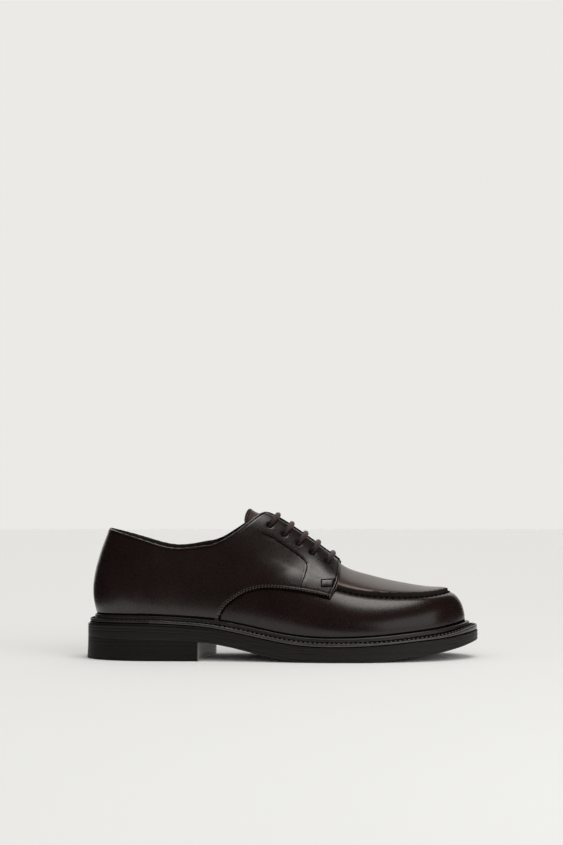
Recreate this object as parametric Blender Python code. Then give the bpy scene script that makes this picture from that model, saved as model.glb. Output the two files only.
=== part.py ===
"""Right shoe of a pair of brown leather derbies with a raised apron seam, empty, at its real size.

Sizes are in millimetres until a mesh is made. x runs from the back of the heel to the toe, y from
the outer side (lateral, negative) to the inner side (medial, positive), and z up from the floor.
A place on the upper is (s, v): s counts the stations round the shoe from the heel, and v runs up
the wall from the welt (0) to the shoulder (1) and on over the top to the crest (2).
"""

import math
from collections import namedtuple

import bpy
import numpy as np

MM = 0.001

# Leather, cork and rubber thicknesses
WALL = 1.8
GAP = 0.5
QUARTER_THICK = 1.3
FACING_LIFT = 0.5
TONGUE_THICK = 1.8
TONGUE_GAP = 0.8
INSOLE_THICK = 6.0
SEAT_GAP = 0.3

# The sole stack: the welt's height hides the upper's lower edge
WELT_HEIGHT = 8.2
BEAD_WIDTH = 3.3
# Heights over the feather edge of the bead's top, its foot and the ledge's edge, rows of (station, height)
BEAD_TOP = -0.7
BEAD_FOOT = ((0, -3.3), (8, -3.3), (9, -3.6), (11, -3.5), (12, -2.8))
LEDGE = ((0, -3.8), (3.4, -3.8), (4.6, -4.6), (8, -4.6), (9, -5.4), (10.8, -5.6), (11.7, -3.7), (12, -3.5))
EDGE_FOOT = 0.5
SOLE_PROUD = 0.4
HEEL_PROUD = 1.3
HEEL_FLARE = 0.7
BREAST_LATERAL = 85.3
BREAST_MEDIAL = 97.8
BREAST_HOLLOW = 3.0

# The raised apron seam: a lip that rises steeply from the wall and sinks into the plug
LIP_HEIGHT = 2.6
LIP_RISE = 1.1
LIP_FALL = 13.0
LIP_COVER = 2.7
LIP_STARTS, LIP_FULL = 7.34, 7.6

# Throat and lacing
THROAT_HALF_GAP = 6.0
MEDIAL_FORWARD = 0.9
THROAT_END = 22 / 3
LACE_RADIUS = 1.9
LACE_BARS = 5
EYELET_FIRST = (139.6, 102.0)
EYELET_STEP = (10.95, -6.95)
BAR_TOPS = (144.9, 155.2, 165.6, 174.9, 186.0)
LACE_GAP = 0.45
LACE_SAGS = (2.8, 2.7, 2.2, 1.7, 1.3)

# Tongue, from its free top edge to its root under the vamp, in stations from the heel
TONGUE_TOP, TONGUE_ROOT = 4.97, 7.7

# Stations round the last, one row each, from the heel along the lateral side to the toe and back.
# base: feather edge; top: collar or shoulder line; leans: degrees out at the base and in at the top;
# crest_x: where the section crosses the crest; flatten: how far the plug lies flatter than the wall;
# welt: how far the welt stands out from the feather edge.
Station = namedtuple(
    "Station", "base_x base_y top_x top_y top_z base_lean top_lean crest_x flatten welt"
)
LATERAL_STATIONS = (
    Station(8.6, 0.0, 18.0, 0.0, 99.4, 21, 20, 0, 0, 7.2),
    Station(16.4, -18.6, 24.2, -15.8, 97.3, 18, 17, 0, 0, 6.6),
    Station(38.0, -28.8, 45.0, -25.0, 91.0, 12, 12, 40, 0, 6.7),
    Station(67.0, -31.3, 69.0, -27.8, 85.4, 9, 8, 76, 0, 6.6),
    Station(97.0, -33.5, 94.0, -27.5, 87.7, 8, 8, 104, 0, 6.6),
    Station(120.0, -37.5, 117.0, -27.0, 85.5, 9, 20, 126, 0, 6.8),
    Station(146.0, -43.0, 142.0, -28.0, 75.5, 10, 36, 150, 0, 7.3),
    Station(173.0, -47.2, 171.0, -31.0, 61.8, 11, 46, 177, 0, 7.8),
    Station(200.0, -48.6, 199.0, -32.0, 52.4, 11, 48, 203, 0, 8.1),
    Station(226.0, -46.0, 225.0, -31.0, 48.9, 9, 50, 226, 8, 8.3),
    Station(251.0, -38.5, 249.0, -26.0, 48.5, 5, 52, 244.5, 16, 8.6),
    Station(273.0, -24.8, 267.0, -15.2, 49.5, 2, 62, 257, 16, 9.0),
)
TOE_STATION = Station(290.2, 2.5, 277.6, 2.5, 51.0, 0, 72, 262, 14, 9.4)
MEDIAL_STATIONS = (
    Station(281.0, 26.0, 269.5, 18.5, 49.8, 2, 62, 257, 16, 9.0),
    Station(263.0, 38.3, 252.0, 27.5, 48.9, 5, 52, 244.5, 16, 8.4),
    Station(238.0, 44.6, 227.0, 31.3, 49.4, 9, 50, 226, 8, 7.8),
    Station(210.0, 45.6, 200.0, 31.5, 52.8, 11, 48, 203, 0, 7.2),
    Station(182.0, 42.0, 171.0, 30.5, 62.0, 11, 46, 177, 0, 6.7),
    Station(154.0, 35.0, 142.0, 28.3, 75.8, 10, 36, 150, 0, 6.4),
    Station(126.0, 29.6, 117.0, 26.8, 85.6, 9, 20, 126, 0, 6.3),
    Station(97.0, 28.8, 94.0, 27.0, 88.4, 8, 8, 104, 0, 6.4),
    Station(67.0, 29.6, 69.0, 27.3, 85.6, 9, 8, 76, 0, 6.5),
    Station(38.0, 28.3, 45.0, 24.8, 91.0, 12, 12, 40, 0, 6.6),
    Station(16.4, 18.4, 24.2, 15.6, 97.3, 18, 17, 0, 0, 6.6),
)
STATIONS = (*LATERAL_STATIONS, TOE_STATION, *MEDIAL_STATIONS)
RING = len(STATIONS)
TOE = len(LATERAL_STATIONS)
CREST_Y = 2.0

# Side profiles, rows of (x, z): feather edge, crest of the last, underside of the sole
FEATHER = ((0, 34.3), (40, 34.8), (80, 33.0), (105, 30.5), (131, 25.5), (160, 20.2), (190, 18.7),
           (224, 20.2), (255, 23.3), (272, 25.5), (290, 28.9))
CREST = ((40, 128), (76, 127), (104, 122.8), (126, 117.4), (148, 107.0), (166, 94.2), (186, 78.9),
         (196, 70.9), (212, 64.6), (229, 60.2), (246, 56.8), (262, 53.9))
UNDERSIDE = ((0, 16.5), (45, 16.0), (88, 14.1), (109, 10.8), (123, 7.5), (138, 4.1), (150, 1.9),
             (164, 0), (214, 0), (226, 0.9), (247, 3.4), (265, 5.6), (285, 9.4), (300, 13.5))

# Cut lines of the quarter seen from the side, rows of (x, z)
COLLAR_FRONT = ((100.5, 90.2), (109, 94.8), (118, 101.1), (125, 106.4), (132, 111.4), (141, 117.8))
VAMP_SEAM = ((102.6, 34.5), (107.0, 41.3), (113.6, 46.7), (122.0, 51.6), (131.2, 54.2), (138.0, 54.8),
             (148.0, 54.5), (163.3, 52.8), (175.0, 50.7), (185.7, 48.1))
FACING_FRONT = ((185.7, 48.1), (188.0, 51.4), (190.6, 55.6), (192.4, 59.7), (193.7, 65.1), (194.2, 70.0),
                (194.0, 74.5))


def ring_controls(rows):
    """Control rows of the smooth closed curve that passes through rows."""
    n = len(rows)
    band = 4 * np.eye(n) + np.roll(np.eye(n), 1, axis=0) + np.roll(np.eye(n), -1, axis=0)
    return np.linalg.solve(band / 6, np.asarray(rows, float))


STATION_CONTROLS = ring_controls(STATIONS)


def stations_at(s):
    """Every column of the station table at s, between the rows too."""
    s = np.asarray(s, float)
    i = np.floor(s).astype(int)
    t = (s - i)[..., None]
    c = [STATION_CONTROLS[(i + k - 1) % RING] for k in range(4)]
    blend = ((1 - t) ** 3, 3 * t**3 - 6 * t**2 + 4, -3 * t**3 + 3 * t**2 + 3 * t + 1, t**3)
    row = sum(weight * value for weight, value in zip(blend, c)) / 6
    return Station(*np.moveaxis(row, -1, 0))


def smooth_profile(rows, x):
    """Height at x of the natural cubic curve through rows of (x, z)."""
    knots, values = np.asarray(rows, float).T
    width = np.diff(knots)
    rise = np.diff(values) / width
    n = len(knots)
    system, right = np.eye(n), np.zeros(n)
    for i in range(1, n - 1):
        system[i, i - 1:i + 2] = width[i - 1], 2 * (width[i - 1] + width[i]), width[i]
        right[i] = 6 * (rise[i] - rise[i - 1])
    bend = np.linalg.solve(system, right)
    x = np.asarray(x, float)
    i = np.clip(np.searchsorted(knots, x) - 1, 0, n - 2)
    a, b = knots[i + 1] - x, x - knots[i]
    w = width[i]
    line = (values[i] * a + values[i + 1] * b) / w
    return line + (bend[i] * (a**3 / w - a * w) + bend[i + 1] * (b**3 / w - b * w)) / 6


def flat_profile(rows, x):
    """Value at x of the curve through rows that never overshoots them, so flat stretches stay flat."""
    knots, values = np.asarray(rows, float).T
    width = np.diff(knots)
    rise = np.diff(values) / width
    slope = np.zeros(len(knots))
    same_way = rise[:-1] * rise[1:] > 0
    w1, w2 = 2 * width[1:] + width[:-1], width[1:] + 2 * width[:-1]
    safe = np.where(same_way, rise[:-1], 1), np.where(same_way, rise[1:], 1)
    slope[1:-1] = np.where(same_way, (w1 + w2) / (w1 / safe[0] + w2 / safe[1]), 0)
    slope[0], slope[-1] = rise[0], rise[-1]
    x = np.clip(np.asarray(x, float), knots[0], knots[-1])
    i = np.clip(np.searchsorted(knots, x) - 1, 0, len(knots) - 2)
    t = (x - knots[i]) / width[i]
    return (values[i] * (1 + 2 * t) * (1 - t) ** 2 + values[i + 1] * t * t * (3 - 2 * t)
            + width[i] * t * (1 - t) * (slope[i] * (1 - t) - slope[i + 1] * t))


def smooth_step(low, high, x):
    t = np.clip((np.asarray(x, float) - low) / (high - low), 0, 1)
    return t * t * (3 - 2 * t)


def vectors(x, y, z):
    return np.stack(np.broadcast_arrays(x, y, z), axis=-1)


def length(v):
    return np.linalg.norm(v, axis=-1, keepdims=True)


def bezier(a, b, c, d, t):
    return (1 - t) ** 3 * a + 3 * (1 - t) ** 2 * t * b + 3 * (1 - t) * t * t * c + t**3 * d


def feather_edge(s):
    row = stations_at(s)
    return vectors(row.base_x, row.base_y, smooth_profile(FEATHER, row.base_x))


def outward(s):
    """Level unit vector that points away from the shoe at s."""
    step = 0.01
    ahead, behind = stations_at(np.asarray(s) + step), stations_at(np.asarray(s) - step)
    along = vectors(ahead.base_x - behind.base_x, ahead.base_y - behind.base_y, 0.0)
    return vectors(along[..., 1], -along[..., 0], 0.0) / length(along)


def surface(s, v):
    """Outer face of the last at (s, v): a wall, the top from shoulder to crest, then the other side."""
    s, v = np.broadcast_arrays(np.asarray(s, float), np.asarray(v, float))
    s, v = np.where(v > 2, RING - s, s), np.where(v > 2, 4 - v, v)
    row = stations_at(s)
    out, up = outward(s), vectors(0.0, 0.0, np.ones(s.shape))
    base, top = feather_edge(s), vectors(row.top_x, row.top_y, row.top_z)
    base_lean, top_lean = (np.radians(a)[..., None] for a in (row.base_lean, row.top_lean))
    tall = length(top - base)
    low = base + 0.35 * tall * (out * np.sin(base_lean) + up * np.cos(base_lean))
    high = top + 0.35 * tall * (out * np.sin(top_lean) - up * np.cos(top_lean))
    crest = vectors(row.crest_x, CREST_Y, smooth_profile(CREST, row.crest_x))
    across = crest - top
    rise = math.pi / 2 - top_lean - np.radians(row.flatten)[..., None]
    near = top + 0.35 * length(across[..., :2]) * (up * np.sin(rise) - out * np.cos(rise))
    far = crest - vectors(0.0, 0.42 * across[..., 1], 0.0)
    v = v[..., None]
    wall = bezier(base, low, high, top, np.clip(v, 0, 1))
    return np.where(v <= 1, wall, bezier(top, near, far, crest, np.clip(v - 1, 0, 1)))


def normal(s, v):
    step = 0.004
    s, v = np.broadcast_arrays(np.asarray(s, float), np.asarray(v, float))
    along = surface(s + step, v) - surface(s - step, v)
    up = surface(s, v + step) - surface(s, np.maximum(v - step, 0))
    across = np.cross(along, up)
    return across / np.maximum(length(across), 1e-9)


def toe_share(s):
    """Station counted from the heel on either side, so that both sides share one rule."""
    return TOE - np.abs(np.asarray(s, float) % RING - TOE)


def past_seam(s, v):
    """Distance up the plug from the apron seam."""
    row = stations_at(s)
    return (np.asarray(v, float) - 1) * np.hypot(row.crest_x - row.top_x, CREST_Y - row.top_y)


def lip(s, v):
    """Height of the raised seam over the last."""
    past = past_seam(s, v)
    shape = smooth_step(0, LIP_RISE, past) * (1 - smooth_step(LIP_RISE, LIP_FALL, past))
    return LIP_HEIGHT * shape * smooth_step(LIP_STARTS, LIP_FULL, toe_share(s))


def lip_cover(s, v):
    """Height of the soft swell that the raised seam gives the quarter lying over it."""
    past = past_seam(s, v)
    shape = smooth_step(-9, 4, past) * (1 - smooth_step(7, LIP_FALL + 10, past))
    return LIP_COVER * shape * smooth_step(LIP_STARTS - 0.9, LIP_STARTS + 0.1, toe_share(s))


def raised(s, v, height):
    """Points at a height over the last."""
    return surface(s, v) + np.asarray(height)[..., None] * normal(s, v)


def upper_face(s, v):
    """Outer face of the vamp with its raised seam."""
    return raised(s, v, lip(s, v))


def quarter_lift(s, v):
    """Height of the quarter's outer face over the last: the facings stand a little over the tongue."""
    facing = smooth_step(1.2, 1.7, v) * smooth_step(5.6, 7.0, toe_share(s))
    return GAP + QUARTER_THICK + FACING_LIFT * facing + lip_cover(s, v)


def quarter_face(s, v):
    return raised(s, v, quarter_lift(s, v))


def locate(face, rows, side):
    """Places (s, v) on one side of a face that show at the given (x, z) from the side."""
    goal = np.asarray(rows, float)
    first = 0.0 if side == "lateral" else float(TOE)
    grid_s, grid_v = np.meshgrid(np.linspace(first + 0.2, first + TOE - 0.2, 117), np.linspace(0, 2, 41))
    seen = face(grid_s, grid_v)[..., [0, 2]].reshape(-1, 2)
    nearest = np.argmin(((seen[None] - goal[:, None]) ** 2).sum(-1), axis=1)
    s, v = grid_s.ravel()[nearest], grid_v.ravel()[nearest]
    step = 1e-3
    for _ in range(12):
        here = face(s, v)[..., [0, 2]]
        by_s = (face(s + step, v)[..., [0, 2]] - here) / step
        by_v = (face(s, np.clip(v + step, 0, 2))[..., [0, 2]] - here) / step
        miss = goal - here
        area = by_s[:, 0] * by_v[:, 1] - by_s[:, 1] * by_v[:, 0]
        area = np.where(np.abs(area) < 1e-6, 1e-6, area)
        move_s = (miss[:, 0] * by_v[:, 1] - miss[:, 1] * by_v[:, 0]) / area
        move_v = (by_s[:, 0] * miss[:, 1] - by_s[:, 1] * miss[:, 0]) / area
        s = s + np.clip(move_s, -0.3, 0.3)
        v = np.clip(v + np.clip(move_v, -0.1, 0.1), 0, 1.98)
    return np.stack([s, v], axis=-1)


def throat_v(s):
    """v of the throat's edge, half the lacing gap from the crest."""
    s = np.asarray(s, float)
    low, high = np.full(s.shape, 1.0), np.full(s.shape, 2.0)
    for _ in range(30):
        middle = (low + high) / 2
        outside = np.abs(surface(s, middle)[..., 1] - CREST_Y) > THROAT_HALF_GAP
        low, high = np.where(outside, middle, low), np.where(outside, high, middle)
    return (low + high) / 2


def collar_table(side):
    """Rows of (station from the heel, v) along the collar of one side."""
    rise = locate(quarter_face, COLLAR_FRONT, side)
    return np.vstack([[(0, 1), (2, 1), (4, 1)], np.stack([toe_share(rise[:, 0]), rise[:, 1]], axis=-1)])


COLLAR_TABLES = {side: collar_table(side) for side in ("lateral", "medial")}


def top_v(s):
    """v of the upper's free edge: the collar, a round corner, then the throat's edge."""
    s = np.asarray(s, float)
    share = toe_share(s)
    lateral = s % RING <= TOE
    collar = np.where(lateral, flat_profile(COLLAR_TABLES["lateral"], share),
                      flat_profile(COLLAR_TABLES["medial"], share))
    throat = np.where(share > 4, throat_v(np.where(share > 4, s, TOE / 2)), 2.0)
    sharp = 22.0
    return np.where(share > 4, -np.log(np.exp(-sharp * collar) + np.exp(-sharp * throat)) / sharp, collar)


def in_ring(side, s):
    """Ring station of a place s stations from the heel on that side."""
    return s if side == "lateral" else RING - s


def welt_inside(s):
    """Clearance of the welt from the feather edge: wider behind the seam, where the quarter stands."""
    return GAP + (QUARTER_THICK + GAP) * (1 - smooth_step(4.45, 4.75, toe_share(s)))


def welt_outline(s):
    return stations_at(s).welt


def bead_edge(s, inside):
    """Outer edge of the welt's bead, which hugs the quarter behind and is wider along the vamp."""
    share = 0.28 + 0.14 * smooth_step(4.45, 4.75, toe_share(s))
    return inside + np.minimum(BEAD_WIDTH, share * (welt_outline(s) - inside))


def welt_levels(s):
    """Heights over the feather edge of the bead's foot and the ledge's edge."""
    share = toe_share(s)
    return flat_profile(BEAD_FOOT, share), flat_profile(LEDGE, share)


def sole_outline(s, inset=0.0, z=None):
    """Edge of the sole in plan, drawn in by inset, at height z."""
    proud = SOLE_PROUD + HEEL_PROUD * (1 - smooth_step(3.0, 5.0, toe_share(s)))
    edge = feather_edge(s) + outward(s) * (welt_outline(s) + proud - inset)[..., None]
    return edge if z is None else vectors(edge[..., 0], edge[..., 1], z)


def plan_centre():
    """Middle of the box that the shoe stands in, in plan."""
    s = np.linspace(0, RING, 961)
    edge = sole_outline(s)[:, :2]
    flared = edge + HEEL_FLARE * outward(s)[:, :2] * (edge[:, :1] < BREAST_LATERAL)
    return (flared.min(axis=0) + flared.max(axis=0)) / 2


PLAN_CENTRE = plan_centre()


def grid_faces(columns, rows, first=0):
    """Quads of a grid of points stored column by column."""
    corners = [first + c * rows + r for c in range(columns - 1) for r in range(rows - 1)]
    return [(k, k + rows, k + rows + 1, k + 1) for k in corners]


def weld(points, faces):
    """Points that share a place become one, and faces that lose a corner there keep the rest."""
    keys = np.round(np.asarray(points) + 0.00037, 3)
    _, first, index = np.unique(keys, axis=0, return_index=True, return_inverse=True)
    index = index.ravel()
    welded = []
    for face in faces:
        corners = []
        for corner in (index[c] for c in face):
            if corner not in corners:
                corners.append(corner)
        if len(corners) > 2:
            welded.append(tuple(corners))
    return first, welded


def shell(outer, inner, faces):
    """Closed solid between two sheets of points that share their faces."""
    first, sheet = weld(outer, faces)
    outer, inner = np.asarray(outer)[first], np.asarray(inner)[first]
    n = len(outer)
    edges = {(face[i], face[(i + 1) % len(face)]) for face in sheet for i in range(len(face))}
    rims = [(b, a, a + n, b + n) for a, b in edges if (b, a) not in edges]
    back = [tuple(c + n for c in reversed(face)) for face in sheet]
    return np.vstack([outer, inner]), [*sheet, *back, *rims]


def sample(line, count):
    """Line of (s, v) rows drawn again with count evenly spaced rows."""
    line = np.asarray(line, float)
    run = np.concatenate([[0], np.cumsum(length(np.diff(line, axis=0) * [27, 40]).ravel())])
    at = np.linspace(0, run[-1], count)
    return np.stack([np.interp(at, run, line[:, k]) for k in range(2)], axis=-1)


def coons(low, high, first, last):
    """Grid of (s, v) inside four border lines: low and high run along, first and last run up."""
    p = np.linspace(0, 1, len(low))[:, None, None]
    q = np.linspace(0, 1, len(first))[None, :, None]
    corners = (1 - p) * ((1 - q) * low[0] + q * high[0]) + p * ((1 - q) * low[-1] + q * high[-1])
    return (1 - q) * low[:, None] + q * high[:, None] + (1 - p) * first[None] + p * last[None] - corners


def join_grids(grids):
    """Points and faces of several grids, each a pair of matching outer and inner point arrays."""
    outer, inner, faces = [], [], []
    count = 0
    for top, bottom, turned in grids:
        columns, rows = top.shape[:2]
        quads = grid_faces(columns, rows, count)
        faces += [tuple(reversed(q)) for q in quads] if turned else quads
        outer.append(top.reshape(-1, 3))
        inner.append(bottom.reshape(-1, 3))
        count += columns * rows
    return np.vstack(outer), np.vstack(inner), faces


def edge_v(s):
    """Row where the upper's walls stop: its free edge, carried on over the closed toe."""
    share = np.minimum(toe_share(s), THROAT_END)
    return top_v(np.where(np.asarray(s) % RING <= TOE, share, RING - share))


def quarter_borders(side):
    """Border lines of a quarter in (stations from the heel, v)."""
    def share(rows):
        return np.stack([toe_share(rows[:, 0]), rows[:, 1]], axis=-1)

    seam = share(locate(quarter_face, VAMP_SEAM, side))
    forward = MEDIAL_FORWARD if side == "medial" else 0.0
    front = share(locate(quarter_face, [(x + forward, z) for x, z in FACING_FRONT], side))
    foot, back = seam[0, 0] - 0.03, 0.012
    base = np.stack([np.linspace(back, foot, 40), np.zeros(40)], axis=-1)
    seam = np.vstack([[foot, 0.0], seam[:-1], front[:1]])
    corner = front[-1, 0] - 0.1
    rim = np.linspace(back, corner, 160)
    rim = np.stack([rim, top_v(in_ring(side, rim))], axis=-1)
    front = np.vstack([front, rim[-1:]])
    return base, seam, front, rim


def across(lateral, medial, count=3):
    """Grid of points from the lateral line to the medial line."""
    t = np.linspace(0, 1, count)[None, :, None]
    return lateral[:, None] * (1 - t) + medial[:, None] * t


def breast_share(side, x):
    """Station from the heel where the sole's edge reaches x."""
    share = np.linspace(0.5, 6, 400)
    return np.interp(x, sole_outline(in_ring(side, share))[:, 0], share)


def eyelets(side):
    """Places of the eyelets of one facing, in (stations from the heel, v)."""
    rows = [[first + i * step for first, step in zip(EYELET_FIRST, EYELET_STEP)] for i in range(LACE_BARS)]
    found = locate(quarter_face, rows, side)
    return np.stack([toe_share(found[:, 0]), found[:, 1]], axis=-1)


def tongue_edge(v):
    """Station of the tongue's free top edge at v: its sides lean back, then round off."""
    q = (2 - v) / 0.7
    return TONGUE_TOP - 0.16 * q + 0.66 * q**4


def bar_crossings():
    """Station where each lace bar crosses the crest."""
    share = np.linspace(4, TOE, 400)
    return np.interp(BAR_TOPS, stations_at(share).crest_x, share)


def material(name, colour, roughness):
    made = bpy.data.materials.new(name)
    made.use_nodes = True
    shader = made.node_tree.nodes["Principled BSDF"]
    shader.inputs["Base Color"].default_value = (*colour, 1.0)
    shader.inputs["Roughness"].default_value = roughness
    shader.inputs["Metallic"].default_value = 0.0
    return made


def add_object(name, points, faces, finish):
    """Mesh object from millimetre points, moved so that the shoe stands over the origin."""
    moved = (np.asarray(points) - [*PLAN_CENTRE, 0.0]) * MM
    mesh = bpy.data.meshes.new(name)
    mesh.from_pydata(moved.tolist(), [], [list(map(int, f)) for f in faces])
    mesh.materials.append(finish)
    mesh.update()
    mesh.shade_smooth()
    mesh.set_sharp_from_angle(angle=math.radians(40))
    made = bpy.data.objects.new(name, mesh)
    bpy.context.scene.collection.objects.link(made)
    return made


def upper_rows(s):
    """v of each row of the upper's mesh at s: even behind, gathered at the raised seam in front."""
    row = stations_at(s)
    reach = np.hypot(row.crest_x - row.top_x, CREST_Y - row.top_y)
    edge = edge_v(s)
    share = toe_share(s)
    lip_top = 1 + LIP_RISE / np.maximum(reach, 10)
    front = [np.full(s.shape, k / 6) for k in range(7)]
    front += [lip_top + (edge - lip_top) * k / 4 for k in range(5)]
    behind = [edge * k / 11 for k in range(12)]
    mix = smooth_step(4.2, 6.6, share)
    return np.stack([(1 - mix) * b + mix * f for b, f in zip(behind, front)], axis=-1)


def make_upper(finish):
    grids = []
    for side in ("lateral", "medial"):
        share = np.linspace(0, TOE, 3 * TOE + 1)
        s = in_ring(side, share)
        turned = side == "medial"
        v = upper_rows(s)
        station = np.repeat(s[:, None], v.shape[1], axis=1)
        outer = upper_face(station, v)
        inner = surface(station, v) - WALL * normal(station, v)
        drop = np.array([0.0, 0.0, WELT_HEIGHT])
        foot, inside = feather_edge(s), feather_edge(s) - WALL * outward(s)
        inner[:, 0] = inside
        outer = np.concatenate([(foot - drop)[:, None], outer], axis=1)
        inner = np.concatenate([(inside - drop)[:, None], inner], axis=1)
        grids.append((outer, inner, turned))
        ahead = s[share >= THROAT_END - 1e-6]
        v = np.stack([edge_v(ahead) * (1 - k / 3) + 2 * k / 3 for k in range(4)], axis=-1)
        station = np.repeat(ahead[:, None], 4, axis=1)
        grids.append((upper_face(station, v), surface(station, v) - WALL * normal(station, v), turned))
    return add_object("upper", *shell(*join_grids(grids)), finish)


def make_quarter(side, finish):
    base, seam, front, rim = quarter_borders(side)
    behind, ahead, rows = 15, 15, 11
    low = np.vstack([sample(base, behind), sample(seam, ahead + 1)[1:]])
    split = int(len(rim) * 0.53)
    high = np.vstack([sample(rim[:split + 1], behind), sample(rim[split:], ahead + 1)[1:]])
    first = sample([low[0], high[0]], rows)
    last = sample(front, rows)
    place = coons(low, high, first, last)
    s, v = in_ring(side, place[..., 0]), place[..., 1]
    turned = side == "medial"
    outer, inner = quarter_face(s, v), raised(s, v, GAP + lip_cover(s, v))
    foot_s = s[:behind, 0]
    foot, out = feather_edge(foot_s), outward(foot_s)
    drop = np.array([0.0, 0.0, WELT_HEIGHT])
    hem_out = np.stack([foot + out * (GAP + QUARTER_THICK) - drop, outer[:behind, 0]], axis=1)
    hem_in = np.stack([foot + out * GAP - drop, inner[:behind, 0]], axis=1)
    grids = [(outer, inner, turned), (hem_out, hem_in, turned)]
    return add_object("quarter_" + side, *shell(*join_grids(grids)), finish)


def make_tongue(finish):
    grids = []
    for side in ("lateral", "medial"):
        v = np.linspace(1.3, 2.0, 7)
        edge = tongue_edge(v)
        share = np.stack([edge + (TONGUE_ROOT - edge) * k / 12 for k in range(13)])
        s, v = in_ring(side, share), np.broadcast_to(v, share.shape)
        out = normal(s, v)
        outer = surface(s, v) - (WALL + TONGUE_GAP) * out
        grids.append((outer, outer - TONGUE_THICK * out, side == "medial"))
    return add_object("tongue", *shell(*join_grids(grids)), finish)


def make_insole(finish):
    share = np.linspace(0, TOE, 2 * TOE + 1)
    edge = [feather_edge(s) - outward(s) * (WALL + GAP) for s in (share, RING - share)]
    bottom = across(*edge) - [0.0, 0.0, WELT_HEIGHT]
    top = bottom + [0.0, 0.0, INSOLE_THICK]
    return add_object("insole", *shell(*join_grids([(top, bottom, False)])), finish)


def make_welt(finish):
    s = np.linspace(0, RING, 3 * RING + 1)[:-1]
    inside, outside = welt_inside(s), welt_outline(s)
    bead = bead_edge(s, inside)
    foot, ledge = welt_levels(s)
    section = (
        (inside, -WELT_HEIGHT), (outside - 0.5, -WELT_HEIGHT), (outside, EDGE_FOOT - WELT_HEIGHT),
        (outside, ledge - 0.4), (outside - 0.5, ledge), (bead, foot),
        (inside * 0.04 + bead * 0.96, 0.6 * foot), (inside * 0.25 + bead * 0.75, BEAD_TOP - 0.5),
        (inside * 0.6 + bead * 0.4, BEAD_TOP), (inside, BEAD_TOP - 0.3),
    )
    points = np.stack([feather_edge(s) + outward(s) * o[:, None] + vectors(0.0, 0.0, h + 0 * s)
                       for o, h in section], axis=1)
    n, m = points.shape[:2]
    faces = [(a * m + b, (a + 1) % n * m + b, (a + 1) % n * m + (b + 1) % m, a * m + (b + 1) % m)
             for a in range(n) for b in range(m)]
    return add_object("welt", points.reshape(-1, 3), faces, finish)


def make_outsole(finish):
    share = np.linspace(0, TOE, 3 * TOE + 1)
    ring = np.concatenate([share, RING - share[-2:0:-1]])
    low = flat_profile(UNDERSIDE, sole_outline(ring)[:, 0])
    high = feather_edge(ring)[:, 2] - WELT_HEIGHT - SEAT_GAP
    seat = stations_at(ring).welt + 4.0
    layers = [sole_outline(ring, np.zeros(ring.shape) + inset, z) for inset, z in
              ((0.8, low), (0.0, low + 0.9), (0.0, high - 0.6), (0.5, high), (seat, high))]
    n, last = len(ring), len(layers) - 1
    points = np.vstack(layers)
    faces = [(k * n + a, k * n + (a + 1) % n, (k + 1) * n + (a + 1) % n, (k + 1) * n + a)
             for k in range(last) for a in range(n)]
    for k in range(n // 2):
        pair = [k, k + 1, n - k - 1, (n - k) % n]
        face = [c for i, c in enumerate(pair) if c not in pair[:i]]
        faces += [tuple(reversed(face)), tuple(c + last * n for c in face)]
    return add_object("outsole", points, faces, finish)


def make_heel(finish):
    count = 15
    run = np.linspace(0, 1, count)
    sheets = []
    for flare in (0.0, HEEL_FLARE):
        lines = []
        for side, breast in (("lateral", BREAST_LATERAL), ("medial", BREAST_MEDIAL)):
            s = in_ring(side, run * breast_share(side, breast))
            lines.append(sole_outline(s, np.full(s.shape, -flare)))
        sheet = across(*lines, count=5)
        t = np.linspace(0, 1, 5)
        sheet[..., 0] -= BREAST_HOLLOW * 4 * t * (1 - t) * run[:, None] ** 3
        sheets.append(sheet)
    sheets[0][..., 2] = flat_profile(UNDERSIDE, sheets[0][..., 0]) - SEAT_GAP
    sheets[1][..., 2] = 0.0
    return add_object("heel", *shell(*join_grids([(sheets[0], sheets[1], False)])), finish)


def make_lace(number, finish):
    i = number - 1
    crossing = bar_crossings()[i]
    path, out = [], []
    for side in ("lateral", "medial"):
        share, v = eyelets(side)[i]
        t = np.linspace(0, 1, 8)
        turn = 1 - (1 - t) ** 2
        s, v = in_ring(side, share * (1 - turn) + crossing * turn), v * (1 - t) + 2 * t
        bulge = quarter_lift(s, v) + LACE_RADIUS + LACE_GAP - LACE_SAGS[i] * smooth_step(0.8, 1.0, t)
        face, up = raised(s, v, bulge), normal(s, v)
        order = slice(None) if side == "lateral" else slice(-2, None, -1)
        path.append(face[order])
        out.append(up[order])
    path, out = np.vstack(path), np.vstack(out)
    along = np.gradient(path, axis=0)
    along /= length(along)
    beside = np.cross(along, out)
    beside /= length(beside)
    out = np.cross(beside, along)
    angle = np.linspace(0, 2 * math.pi, 9)[:-1, None]
    rings = path[:, None] + LACE_RADIUS * (np.cos(angle) * beside[:, None] + np.sin(angle) * out[:, None])
    n, m = rings.shape[:2]
    faces = [(a * m + b, (a + 1) * m + b, (a + 1) * m + (b + 1) % m, a * m + (b + 1) % m)
             for a in range(n - 1) for b in range(m)]
    faces += [tuple(range(m)), tuple(reversed(range((n - 1) * m, n * m)))]
    return add_object("lace_%d" % number, rings.reshape(-1, 3), faces, finish)


def clear_scene():
    for found in list(bpy.data.objects):
        bpy.data.objects.remove(found, do_unlink=True)


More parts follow.
